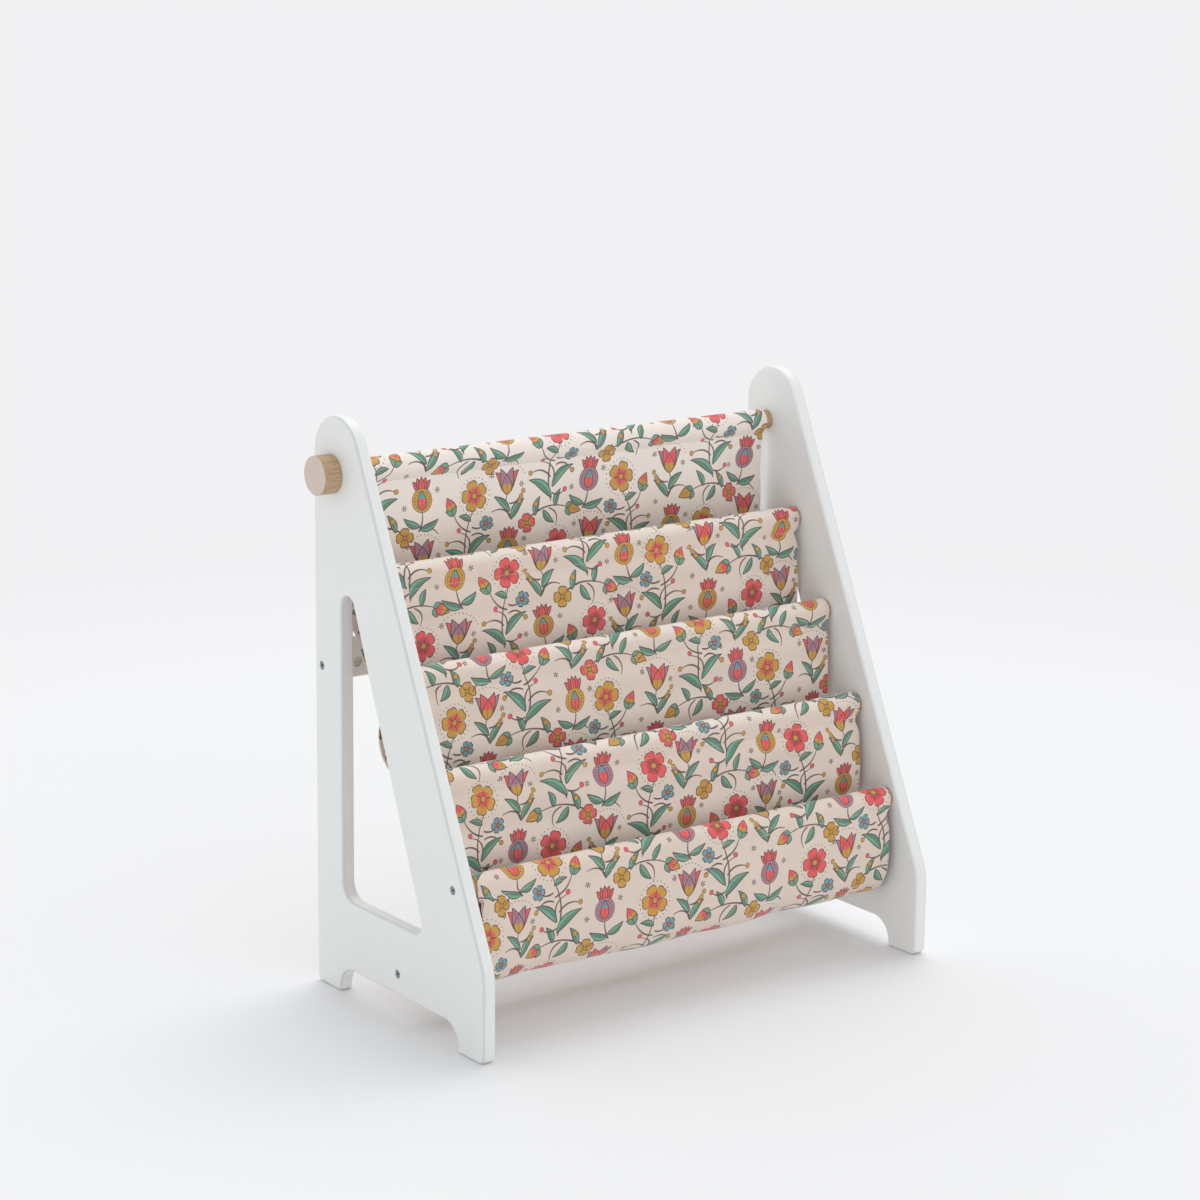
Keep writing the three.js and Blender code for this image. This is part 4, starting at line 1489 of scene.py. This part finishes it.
def make_repeat_group():
    group, given = new_group(
        "print_repeat",
        {**FLAT_PLACE, "Start X": 0.0, "Start Y": 0.0, "Across": REPEAT_ACROSS, "Down": REPEAT_ALONG,
         "Turn Range": 0.1, "Seed": 1.0},
        ["X", "Y", "Chance"],
    )
    x = given["X"] - given["Start X"]
    column = (x / given["Across"] + 0.5).math("FLOOR")
    lower = abs(column * 0.5).math("FRACT") * given["Down"]
    y = given["Y"] - given["Start Y"] - lower
    row = (y / given["Down"] + 0.5).math("FLOOR")
    cell = vector_of(group, column, row, given["Seed"])
    first, second, third = parts_of(node_of(group, "ShaderNodeTexWhiteNoise", Vector=cell)["Color"])
    mirror = third.math("GREATER_THAN", 0.5) * 2 - 1
    x, y = x - column * given["Across"], y - row * given["Down"]
    x, y = rotated(x * mirror, y, given["Turn Range"] * (second - 0.5))
    return put_out(group, X=x, Y=y, Chance=first)


repeat_group = make_repeat_group()

# %% [markdown]
# Leaves, petals, buds and stems are one shape: a strip along a bent axis, widest near its
# foot and pointed at both ends. One group draws it, with a fill, an ink outline, a vein and
# fine side veins that slant towards the tip. The distance from the axis less the half width
# at that point is below zero inside.

# %% Print: the petal shape
INK_WIDTH = 0.58
VEIN_WIDTH = 0.3
VEIN_SHARE = 0.8
VEIN_TONE = 0.8
SIDE_VEIN_WIDTH = 0.18
SIDE_VEIN_PITCH = 2.6
SIDE_VEIN_SLANT = 1.1
SIDE_VEIN_INSET = 0.9
EDGE_SOFTNESS = 0.16


def make_petal_group():
    group, given = new_group(
        "print_petal",
        {**FLAT_PLACE, "Base X": 0.0, "Base Y": 0.0, "Heading": 1.57, "Length": 20.0, "Width": 5.0,
         "Bend": 0.0, "Fullness": 0.8},
        ["Fill", "Ink", "Veins", "Along", "Side"],
    )
    x, y = given["X"] - given["Base X"], given["Y"] - given["Base Y"]
    along, off = rotated(x, y, given["Heading"])
    share = along / given["Length"]
    within = 1 - under(both(share, 1 - share), 0.0, 0.02)
    share = share.math("MAXIMUM", 0.0).math("MINIMUM", 1.0)
    off = off - given["Bend"] * 4 * share * (1 - share)
    half = given["Width"] * (share ** given["Fullness"] * math.pi).math("SINE")
    gap = abs(off) - half
    fill_mask = under(gap, 0.0, EDGE_SOFTNESS) * within
    rim = under(abs(gap), INK_WIDTH, EDGE_SOFTNESS)
    vein = under(abs(off), VEIN_WIDTH, EDGE_SOFTNESS) * under(share, VEIN_SHARE, 0.05)
    slant = ((along - abs(off) * SIDE_VEIN_SLANT) / SIDE_VEIN_PITCH).math("FRACT")
    veins = under(abs(slant - 0.5) * SIDE_VEIN_PITCH, SIDE_VEIN_WIDTH, 0.14)
    veins = veins * under(gap, -SIDE_VEIN_INSET, 0.3) * within
    ink = either(rim, vein * VEIN_TONE) * within
    return put_out(group, Fill=fill_mask, Ink=ink, Veins=veins, Along=share, Side=off)


petal_group = make_petal_group()

# %% [markdown]
# A blossom seen from the front repeats one petal round its middle. The angle is cut into
# equal sectors, and across each sector a rounded curve with a notch gives the petal's reach.
# The ink runs round the outline and between the petals, and fine rays run out of the eye. A
# ring of dots can float round a blossom or over a tulip: the same sectors, a dot in each.

# %% Print: the blossom
EYE_SHARE = 0.2
BETWEEN_WIDTH = 0.44
NOTCH_WIDTH = 0.3
NOTCH_DEPTH = 0.14
PETAL_ROUNDNESS = 2.6
RAYS_IN_HALF_PETAL = 3.0
RAY_WIDTH = 0.028
RAY_PLACE = 0.42
RAY_REACH = 0.16
RAY_TONE = 0.85
STAR_FROM = 0.2
STAR_WIDTH = 0.5
ROUND_PLACE = {**FLAT_PLACE, "Place X": 0.0, "Place Y": 0.0}


def in_polar(given):
    """Height and distance from the middle, and how far off its sector's middle line, 0 to 1."""
    x, y = given["X"] - given["Place X"], given["Y"] - given["Place Y"]
    reach = (x * x + y * y).math("SQRT")
    turn = y.math("ARCTAN2", x) * given["Petals"] / (2 * math.pi)
    return y, reach, abs((turn + 100.5).math("FRACT") - 0.5) * 2


def make_blossom_group():
    group, given = new_group(
        "print_blossom", {**ROUND_PLACE, "Size": 14.0, "Petals": 5.0}, ["Fill", "Ink", "Eye", "Reach"])
    _, reach, across = in_polar(given)
    size = given["Size"]
    notch = under(across, 0.0, NOTCH_WIDTH) * NOTCH_DEPTH
    gap = reach - size * (0.5 + 0.5 * (1 - across ** PETAL_ROUNDNESS) ** 0.5 - notch)
    fill_mask = under(gap, 0.0, EDGE_SOFTNESS)
    between = (1 - across) * reach * math.pi / given["Petals"]
    eye = under(reach, size * EYE_SHARE, EDGE_SOFTNESS)
    rays = under(abs((across * RAYS_IN_HALF_PETAL).math("FRACT") - 0.5) * reach, size * RAY_WIDTH, 0.12)
    rays = rays * under(abs(reach - size * RAY_PLACE), size * RAY_REACH, 0.4)
    rim = under(abs(gap), INK_WIDTH, EDGE_SOFTNESS)
    ink = either(either(rim, under(between, BETWEEN_WIDTH, EDGE_SOFTNESS)), rays * RAY_TONE)
    ink = either(ink * (1 - eye), under(abs(reach - size * EYE_SHARE), BETWEEN_WIDTH, EDGE_SOFTNESS))
    ink = ink * under(gap, INK_WIDTH, 0.2)
    return put_out(group, Fill=fill_mask, Ink=ink, Eye=eye, Reach=reach / size)


def make_dot_ring_group():
    group, given = new_group(
        "print_dot_ring",
        {**ROUND_PLACE, "Size": 16.0, "Petals": 20.0, "Dot": 0.55, "Lowest": -100.0}, ["Dots"])
    y, reach, across = in_polar(given)
    aside = across * reach * math.pi / given["Petals"]
    off = reach - given["Size"]
    away = (aside * aside + off * off).math("SQRT")
    dots = under(away, given["Dot"], EDGE_SOFTNESS) * (1 - under(y, given["Lowest"], 0.1))
    return put_out(group, Dots=dots)


def make_star_group():
    group, given = new_group("print_star", {**ROUND_PLACE, "Size": 3.2, "Petals": 6.0}, ["Ink"])
    _, reach, across = in_polar(given)
    aside = across * reach * math.pi / given["Petals"]
    centre, half = (1 + STAR_FROM) / 2, (1 - STAR_FROM) / 2
    beyond = abs(reach - given["Size"] * centre) - given["Size"] * half
    return put_out(group, Ink=under(aside, STAR_WIDTH, 0.2) * under(beyond, 0.0, 0.2))


def make_disc_group():
    group, given = new_group("print_disc", {**ROUND_PLACE, "Size": 2.0}, ["Fill", "Ink"])
    x, y = given["X"] - given["Place X"], given["Y"] - given["Place Y"]
    gap = (x * x + y * y).math("SQRT") - given["Size"]
    return put_out(group, Fill=under(gap, 0.0, EDGE_SOFTNESS), Ink=under(gap, INK_WIDTH, EDGE_SOFTNESS))


blossom_group = make_blossom_group()
disc_group = make_disc_group()
dot_ring_group = make_dot_ring_group()
star_group = make_star_group()

# %% [markdown]
# With these shapes the print is painted like a stencil set, one layer on the other. A small
# painter keeps the colour so far and lays fills and ink over it. Each plant is written as a
# short list of strokes in millimetres: where it starts, which way it heads, how long and wide
# it is and how far it bends.

# %% Print: the painter
INK = srgb(72, 38, 46)
CORAL = srgb(244, 76, 80)
DEEP_CORAL = srgb(208, 50, 68)
MUSTARD = srgb(212, 156, 28)
MAUVE = srgb(172, 122, 142)
TEAL = srgb(84, 168, 178)
LEAF = srgb(104, 182, 152)
DARK_LEAF = srgb(66, 144, 122)
GROUND = srgb(235, 217, 204)
# Painted light: paler grounds for the top sheet and the tunnel tops, and for just below each seam.
PAINTED_LIGHT_GROUND = srgb(252, 241, 232)
LIT_GROUND = srgb(254, 239, 228)
STEM_WIDTH = 0.46
STEM_FULLNESS = 0.35
STEM_TONE = 0.9
SIDE_VEIN_TONE = 0.55
HEART_SHARE = 0.5
EVERYWHERE = -100.0


class Painter:
    """Lays coloured shapes over a colour, one after the other."""

    def __init__(self, tree, ground):
        self.tree = tree
        self.colour = ground

    def lay(self, colour, mask):
        self.colour = mixed(mask, self.colour, colour)

    def shape(self, here, stroke, fullness=0.8):
        x, y, heading, length, width, bend = stroke
        return place_group(self.tree, petal_group, X=here["X"], Y=here["Y"], Base_X=x, Base_Y=y,
                           Heading=math.radians(heading), Length=length, Width=width, Bend=bend,
                           Fullness=fullness)

    def petal(self, here, stroke, colour, tip=None, tip_from=0.55, fullness=0.8):
        shape = self.shape(here, stroke, fullness)
        if tip is not None:
            colour = mixed(under(shape["Along"], tip_from, 0.03), tip, colour)
        self.lay(colour, shape["Fill"])
        self.lay(INK, shape["Ink"])

    def leaf(self, here, stroke):
        shape = self.shape(here, stroke)
        self.lay(mixed(under(shape["Side"], 0.0, 0.2), LEAF, DARK_LEAF), shape["Fill"])
        self.lay(INK, either(shape["Ink"], shape["Veins"] * SIDE_VEIN_TONE))

    def stem(self, here, stroke):
        x, y, heading, length, bend = stroke
        shape = self.shape(here, (x, y, heading, length, STEM_WIDTH, bend), STEM_FULLNESS)
        self.lay(INK, either(shape["Fill"], shape["Ink"] * STEM_TONE))

    def round_shape(self, group, here, place, size, **values):
        return place_group(self.tree, group, X=here["X"], Y=here["Y"], Place_X=place[0],
                           Place_Y=place[1], Size=size, **values)

    def blossom(self, here, place, size, colour, heart, petals=5):
        shape = self.round_shape(blossom_group, here, place, size, Petals=petals)
        self.lay(mixed(under(shape["Reach"], HEART_SHARE, 0.1), colour, heart), shape["Fill"])
        self.lay(MUSTARD, shape["Eye"])
        self.lay(INK, shape["Ink"])

    def dots(self, here, place, size, count, lowest=EVERYWHERE, dot=0.6):
        ring = self.round_shape(dot_ring_group, here, place, size, Petals=count, Dot=dot, Lowest=lowest)
        self.lay(INK, ring["Dots"])

    def disc(self, here, place, size, colour):
        shape = self.round_shape(disc_group, here, place, size)
        self.lay(INK, shape["Ink"])
        self.lay(colour, shape["Fill"])


def repeat_at(tree, flat, x, y, turn_range, seed):
    return place_group(tree, repeat_group, X=flat["X"], Y=flat["Y"], Start_X=x, Start_Y=y,
                       Turn_Range=math.radians(turn_range), Seed=seed)


# %% [markdown]
# Four plants share the repeat: a tall one with an open blossom, a tulip, a seed pod, and a
# trail that runs sideways and fills what the others leave. Each keeps to its own box, so that
# none grows into the next. Chance decides some of the colours, which hides the repeat.

# %% Print: the plants
def paint_tall_plant(paint, flat):
    here = repeat_at(paint.tree, flat, 0.0, 0.0, 8, 1.0)
    red = here["Chance"].math("GREATER_THAN", 0.45)
    for stroke in ((-4, -48, 97, 66, -7), (-8, -8, 42, 30, -4), (-9, -3, 172, 18, 3),
                   (-3, -24, 12, 26, 5), (-5, -40, 175, 18, 3), (-9, -12, 200, 22, -5), (-6, -30, 60, 26, 7)):
        paint.stem(here, stroke)
    for stroke in ((-5, -45, 34, 36, 4.6, 4.5), (-5, -34, 142, 34, 4.4, -4.0), (-8, 4, 20, 17, 3.0, 1.5)):
        paint.leaf(here, stroke)
    outer = mixed(red, MUSTARD, CORAL)
    heart = mixed(red, CORAL, DEEP_CORAL)
    paint.blossom(here, (-11, 29), 16.0, outer, heart)
    paint.dots(here, (-11, 29), 18.8, 24)
    paint.petal(here, (15, 11, 66, 20, 5.8, 1), MUSTARD, CORAL)
    paint.petal(here, (15, 11, 26, 11, 2.5, 0.8), LEAF)
    paint.petal(here, (15, 11, 110, 11, 2.5, -0.8), LEAF)
    paint.blossom(here, (-27, 0), 8.0, TEAL, MAUVE)
    for x, y, colour in ((23, -18, MUSTARD), (-23, -38, CORAL), (-31, -19, MUSTARD), (8, -5, CORAL)):
        paint.disc(here, (x, y), 2.2, colour)


def paint_tulip(paint, flat):
    here = repeat_at(paint.tree, flat, 53.0, 31.0, 12, 2.0)
    mauve = here["Chance"].math("GREATER_THAN", 0.5)
    outer = mixed(mauve, CORAL, MAUVE)
    inner = mixed(mauve, MAUVE, CORAL)
    for stroke in ((4, -31, 98, 28, 4), (2, -14, 30, 16, -3), (3, -27, 165, 24, -5)):
        paint.stem(here, stroke)
    for stroke in ((3, -30, 48, 26, 3.8, 2.4), (2, -22, 138, 25, 3.6, -2)):
        paint.leaf(here, stroke)
    paint.dots(here, (0, 2), 25.5, 36, 10.0)
    for heading, bend, colour in ((122, -3.6, inner), (58, 3.6, inner), (107, -1.5, outer), (73, 1.5, outer)):
        paint.petal(here, (0, -5, heading, 28, 6.0, bend), colour)
    paint.petal(here, (0, -5, 90, 20, 6.4, 0.0), MUSTARD, outer, 0.5)
    for place in ((17, -8), (14.5, -13), (20, -3)):
        paint.disc(here, place, 2.1, MUSTARD)


def paint_seed_pod(paint, flat):
    here = repeat_at(paint.tree, flat, 53.0, -31.0, 14, 3.0)
    ripe = here["Chance"].math("GREATER_THAN", 0.6)
    body = mixed(ripe, MUSTARD, MAUVE)
    paint.stem(here, (6, -31, 105, 21, 2))
    paint.stem(here, (5, -28, 200, 24, -4))
    paint.leaf(here, (5, -29, 160, 25, 3.8, 2.5))
    paint.leaf(here, (4, -26, 28, 22, 3.6, -2))
    for heading in (48, 132, 70, 110, 90):
        paint.petal(here, (0, 8, heading, 16, 3.4, 0.0), CORAL)
    paint.disc(here, (0, 0), 11.8, body)
    paint.dots(here, (0, 0), 9.0, 18, dot=0.7)
    paint.petal(here, (0, -9.8, 90, 19.5, 5.4, 0), CORAL, TEAL, 0.6)


def paint_trail(paint, flat):
    here = repeat_at(paint.tree, flat, 0.0, -62.0, 6, 4.0)
    warm = here["Chance"].math("GREATER_THAN", 0.5)
    paint.stem(here, (-33, -2, 5, 60, 8))
    paint.stem(here, (-12, 6, 120, 9, 2))
    paint.stem(here, (0, 7, -70, 22, 6))
    for stroke in ((-20, 2, 62, 21, 3.7, 2), (-8, 6, -50, 21, 3.7, -2), (9, 7, 62, 19, 3.4, 2)):
        paint.leaf(here, stroke)
    budded = mixed(warm, MUSTARD, CORAL)
    opened = mixed(warm, CORAL, MUSTARD)
    paint.petal(here, (24, 3, -20, 20, 5.8, 0.8), budded, MUSTARD)
    paint.petal(here, (24, 3, 22, 11, 2.5, 1.0), LEAF)
    paint.petal(here, (24, 3, -64, 11, 2.5, -1.0), LEAF)
    paint.blossom(here, (-31, -4), 10.5, opened, MUSTARD, petals=4)
    paint.disc(here, (-16.5, 14), 2.4, MUSTARD)


STAR_PLACES = ((34, 47), (33, -3), (-34, 40), (-35, -27), (31, -37))
STAR_TURN = 60
FIRST_STAR_SEED = 11.0


def make_print_group():
    group, given = new_group("flower_print", {**FLAT_PLACE, "Ground": GROUND}, ["Color"])
    paint = Painter(group, given["Ground"])
    for number, (x, y) in enumerate(STAR_PLACES):
        spot = repeat_at(group, given, x, y, STAR_TURN, FIRST_STAR_SEED + number)
        paint.lay(INK, place_group(group, star_group, X=spot["X"], Y=spot["Y"])["Ink"])
    for paint_plant in (paint_trail, paint_tall_plant, paint_seed_pod, paint_tulip):
        paint_plant(paint, given)
    return put_out(group, Color=paint.colour)


print_group = make_print_group()
print("print nodes:", len(print_group.nodes))

# %% [markdown]
# Under the print lies a plain weave: threads that pass over and under each other in turn. The
# product of two sines says which of the two threads is on top, and each thread is round, so
# the higher of the two gives the height. Slubs, the thicker places in spun cotton, come from
# noise drawn out along the threads.

# %% Plain weave
THREAD_PITCH = 0.62
SLUB_LONG = 0.06
SLUB_ACROSS = 1.2


def make_weave_group():
    group, given = new_group("plain_weave", {"Vector": None, "Pitch": THREAD_PITCH}, ["Height", "Slubs"])
    x, y, _ = parts_of(given["Vector"])
    x, y = x / given["Pitch"] * math.pi, y / given["Pitch"] * math.pi
    over = x.math("SINE") * y.math("SINE") * 0.5
    warp = abs(x.math("SINE")) * (0.5 + over)
    weft = abs(y.math("SINE")) * (0.5 - over)
    slubs = (noise(stretched(given["Vector"], SLUB_ACROSS, SLUB_LONG, 1.0), 1.0, 1.0)
             + noise(stretched(given["Vector"], SLUB_LONG, SLUB_ACROSS, 1.0), 1.0, 1.0)) / 2
    return put_out(group, Height=either(warp, weft) + 0.5 * slubs, Slubs=slubs)


weave_group = make_weave_group()

# %% [markdown]
# The cloth's finish reads the "cloth" map, so the print and the weave follow every fold. Ink
# soaks in, so a little of the ground shows through it. Over ground and ink the weave is painted
# darker where it lies low and lighter where it stands high, as painted shade, and the surface is
# dull with a faint sheen from loose fibres. The top sheet and the tops of the lower tunnels are
# painted paler, as painted light. Just below each seam the ground is painted paler too, painted
# light for what comes through the folds. All these are bands along the strip, told by their
# length on it.

# %% Printed cotton
PER_METRE = 1000.0
# Painted light: where the paler bands lie along the strip.
PAINTED_LIGHT_DOWN_TO = 230.0
PAINTED_LIGHT_FADE = 70.0
TOP_REACH = 9.0
TOP_FADE = 8.0
TOP_HIGHLIGHT = 0.7
LIT_DROP = 0.064
LIT_REACH = 22.0
LIT_FADE = 18.0
PRINT_START = (-77.0, -510.5)
WEAVE_DEPTH = 0.00012
WORN_LEAST = 0.05
WORN_BY_SLUBS = 0.12
# Painted shade: the weave darker where it lies low, lighter where its threads and slubs stand high.
LOW_WEAVE_SHADE = 0.93
RAISED_WEAVE_LIGHT = 0.06
SLUB_WEAVE_LIGHT = 0.05
tunnel_tops = [
    line_length[np.argmin(np.linalg.norm(line - (axis + UPWARDS * tunnel_radius), axis=1))]
    for axis in axes[1:]
]


def bands(down, length, reach, fade):
    """1 on the printed face near a length along the strip, given in metres."""
    return under(abs(down + float(length) * PER_METRE), reach, fade)


def make_cloth():
    material, tree = new_material("printed_cotton")
    layout = node_of(tree, "ShaderNodeUVMap", {"uv_map": "cloth"})["UV"]
    flat = stretched(layout, PER_METRE, PER_METRE, 0.0)
    over, down, _ = parts_of(flat)
    # Painted light: the top sheet, then the tops of the lower tunnels, painted paler.
    painted_light_mask = under(abs(down), PAINTED_LIGHT_DOWN_TO, PAINTED_LIGHT_FADE)
    for top in tunnel_tops:
        painted_light_mask = painted_light_mask + bands(down, top, TOP_REACH, TOP_FADE) * TOP_HIGHLIGHT
    ground = mixed(painted_light_mask, GROUND, PAINTED_LIGHT_GROUND)
    # Painted light: paler ground just below each seam.
    for seam, _ in seams[1:8:2]:
        ground = mixed(bands(down, seam + LIT_DROP, LIT_REACH, LIT_FADE), ground, LIT_GROUND)
    printed = place_group(
        tree, print_group, X=over - PRINT_START[0], Y=down - PRINT_START[1], Ground=ground)["Color"]
    weave = place_group(tree, weave_group, Vector=flat, Pitch=THREAD_PITCH)
    height, slubs = weave["Height"], weave["Slubs"]
    worn = mixed(WORN_LEAST + WORN_BY_SLUBS * (1 - slubs), printed, ground)
    # Painted shade: darker in the weave's low places, lighter on its raised threads and slubs.
    weave_shade = LOW_WEAVE_SHADE + RAISED_WEAVE_LIGHT * height + SLUB_WEAVE_LIGHT * slubs
    weave_shaded = node_of(tree, "ShaderNodeHueSaturation", Value=weave_shade, Color=worn)
    return coated(
        material,
        Base_Color=weave_shaded["Color"],
        Roughness=0.8 + 0.12 * slubs,
        Sheen_Weight=0.4,
        Sheen_Roughness=0.4,
        Specular_IOR_Level=0.25,
        Normal=raised(height, WEAVE_DEPTH, 0.7),
    )


cloth = make_cloth()
sling.data.shade_smooth()
sling.data.materials.append(cloth)
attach(sling, "root")
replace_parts(sling, "sling_tier_1", "sling_tier_2", "sling_tier_3", "sling_tier_4", "sling_hem_5")

# %% [markdown]
# The shelf stands on a plain pale floor in a bright room without corners. The floor is one
# round sheet that takes on the background's own colour far from the shelf, so they meet with
# no line. The world gives light from everywhere, a little less from above and a little more
# from behind and from the right. What the camera sees of it, and anything glossy, is the pale
# background instead.

# %% Floor, background and light
FLOOR_RADIUS = 2.4
FLOOR_SIDES = 64
FADE_START = 0.7
FADE_END = 2.1
FLOOR_TONES = srgb(237, 237, 239), srgb(239, 239, 241)
FLOOR_TINT_SCALE = 3.0
BACKDROP = srgb(241, 241, 243)
BLACK = srgb(0, 0, 0)
DAYLIGHT = srgb(253, 255, 255)
AMBIENT = 0.97
FROM_RIGHT = 0.13
FROM_BEHIND = 0.10
FROM_ABOVE = -0.22
SUN_STRENGTH = 0.85
SUN_SPREAD = math.radians(42)
SUN_FROM = (0.42, 0.30, 1.0)


def make_floor():
    work = bmesh.new()
    bmesh.ops.create_circle(work, cap_ends=True, segments=FLOOR_SIDES, radius=FLOOR_RADIUS)
    mesh = bpy.data.meshes.new("floor")
    work.to_mesh(mesh)
    work.free()
    floor = new_object("floor", mesh)
    material, tree = new_material("pale_floor")
    here = place_on(tree)
    x, y, _ = parts_of(here)
    reach = (x * x + y * y).math("SQRT")
    tint = noise(here, FLOOR_TINT_SCALE)
    near = under(reach, (FADE_START + FADE_END) / 2, (FADE_END - FADE_START) / 2)
    near = near * near * (3 - 2 * near)
    pale = mixed(tint, *FLOOR_TONES)
    mesh.materials.append(coated(
        material,
        Base_Color=mixed(near, BLACK, pale),
        Specular_IOR_Level=near * 0.5,
        Roughness=0.9,
        Emission_Color=BACKDROP,
        Emission_Strength=1 - near,
    ))
    return floor


def make_world():
    world = bpy.data.worlds.new("bright_room")
    world.use_nodes = True
    tree = world.node_tree
    tree.nodes.clear()
    rays = node_of(tree, "ShaderNodeLightPath")
    seen = either(either(rays["Is Camera Ray"], rays["Is Glossy Ray"]), rays["Is Transmission Ray"])
    way_x, way_y, way_z = parts_of(node_of(tree, "ShaderNodeTexCoord")["Generated"])
    level = AMBIENT * (1 + FROM_RIGHT * way_x + FROM_BEHIND * way_y + FROM_ABOVE * way_z)
    light = node_of(tree, "ShaderNodeBackground", Color=DAYLIGHT, Strength=level)["Background"]
    backdrop = node_of(tree, "ShaderNodeBackground", Color=BACKDROP)["Background"]
    blend = tree.nodes.new("ShaderNodeMixShader")
    for socket, value in zip(blend.inputs, (seen, light, backdrop)):
        plug(socket, value)
    node_of(tree, "ShaderNodeOutputWorld", Surface=Wire(tree, blend.outputs[0]))
    bpy.context.scene.world = world


def add_sun():
    data = bpy.data.lights.new("soft_overhead", "SUN")
    data.energy = SUN_STRENGTH
    data.angle = SUN_SPREAD
    lamp = new_object("soft_overhead", data)
    lamp.matrix_world = Vector(SUN_FROM).to_track_quat("Z", "Y").to_matrix().to_4x4()


make_floor()
make_world()
add_sun()
bpy.context.scene.view_settings.view_transform = "Standard"
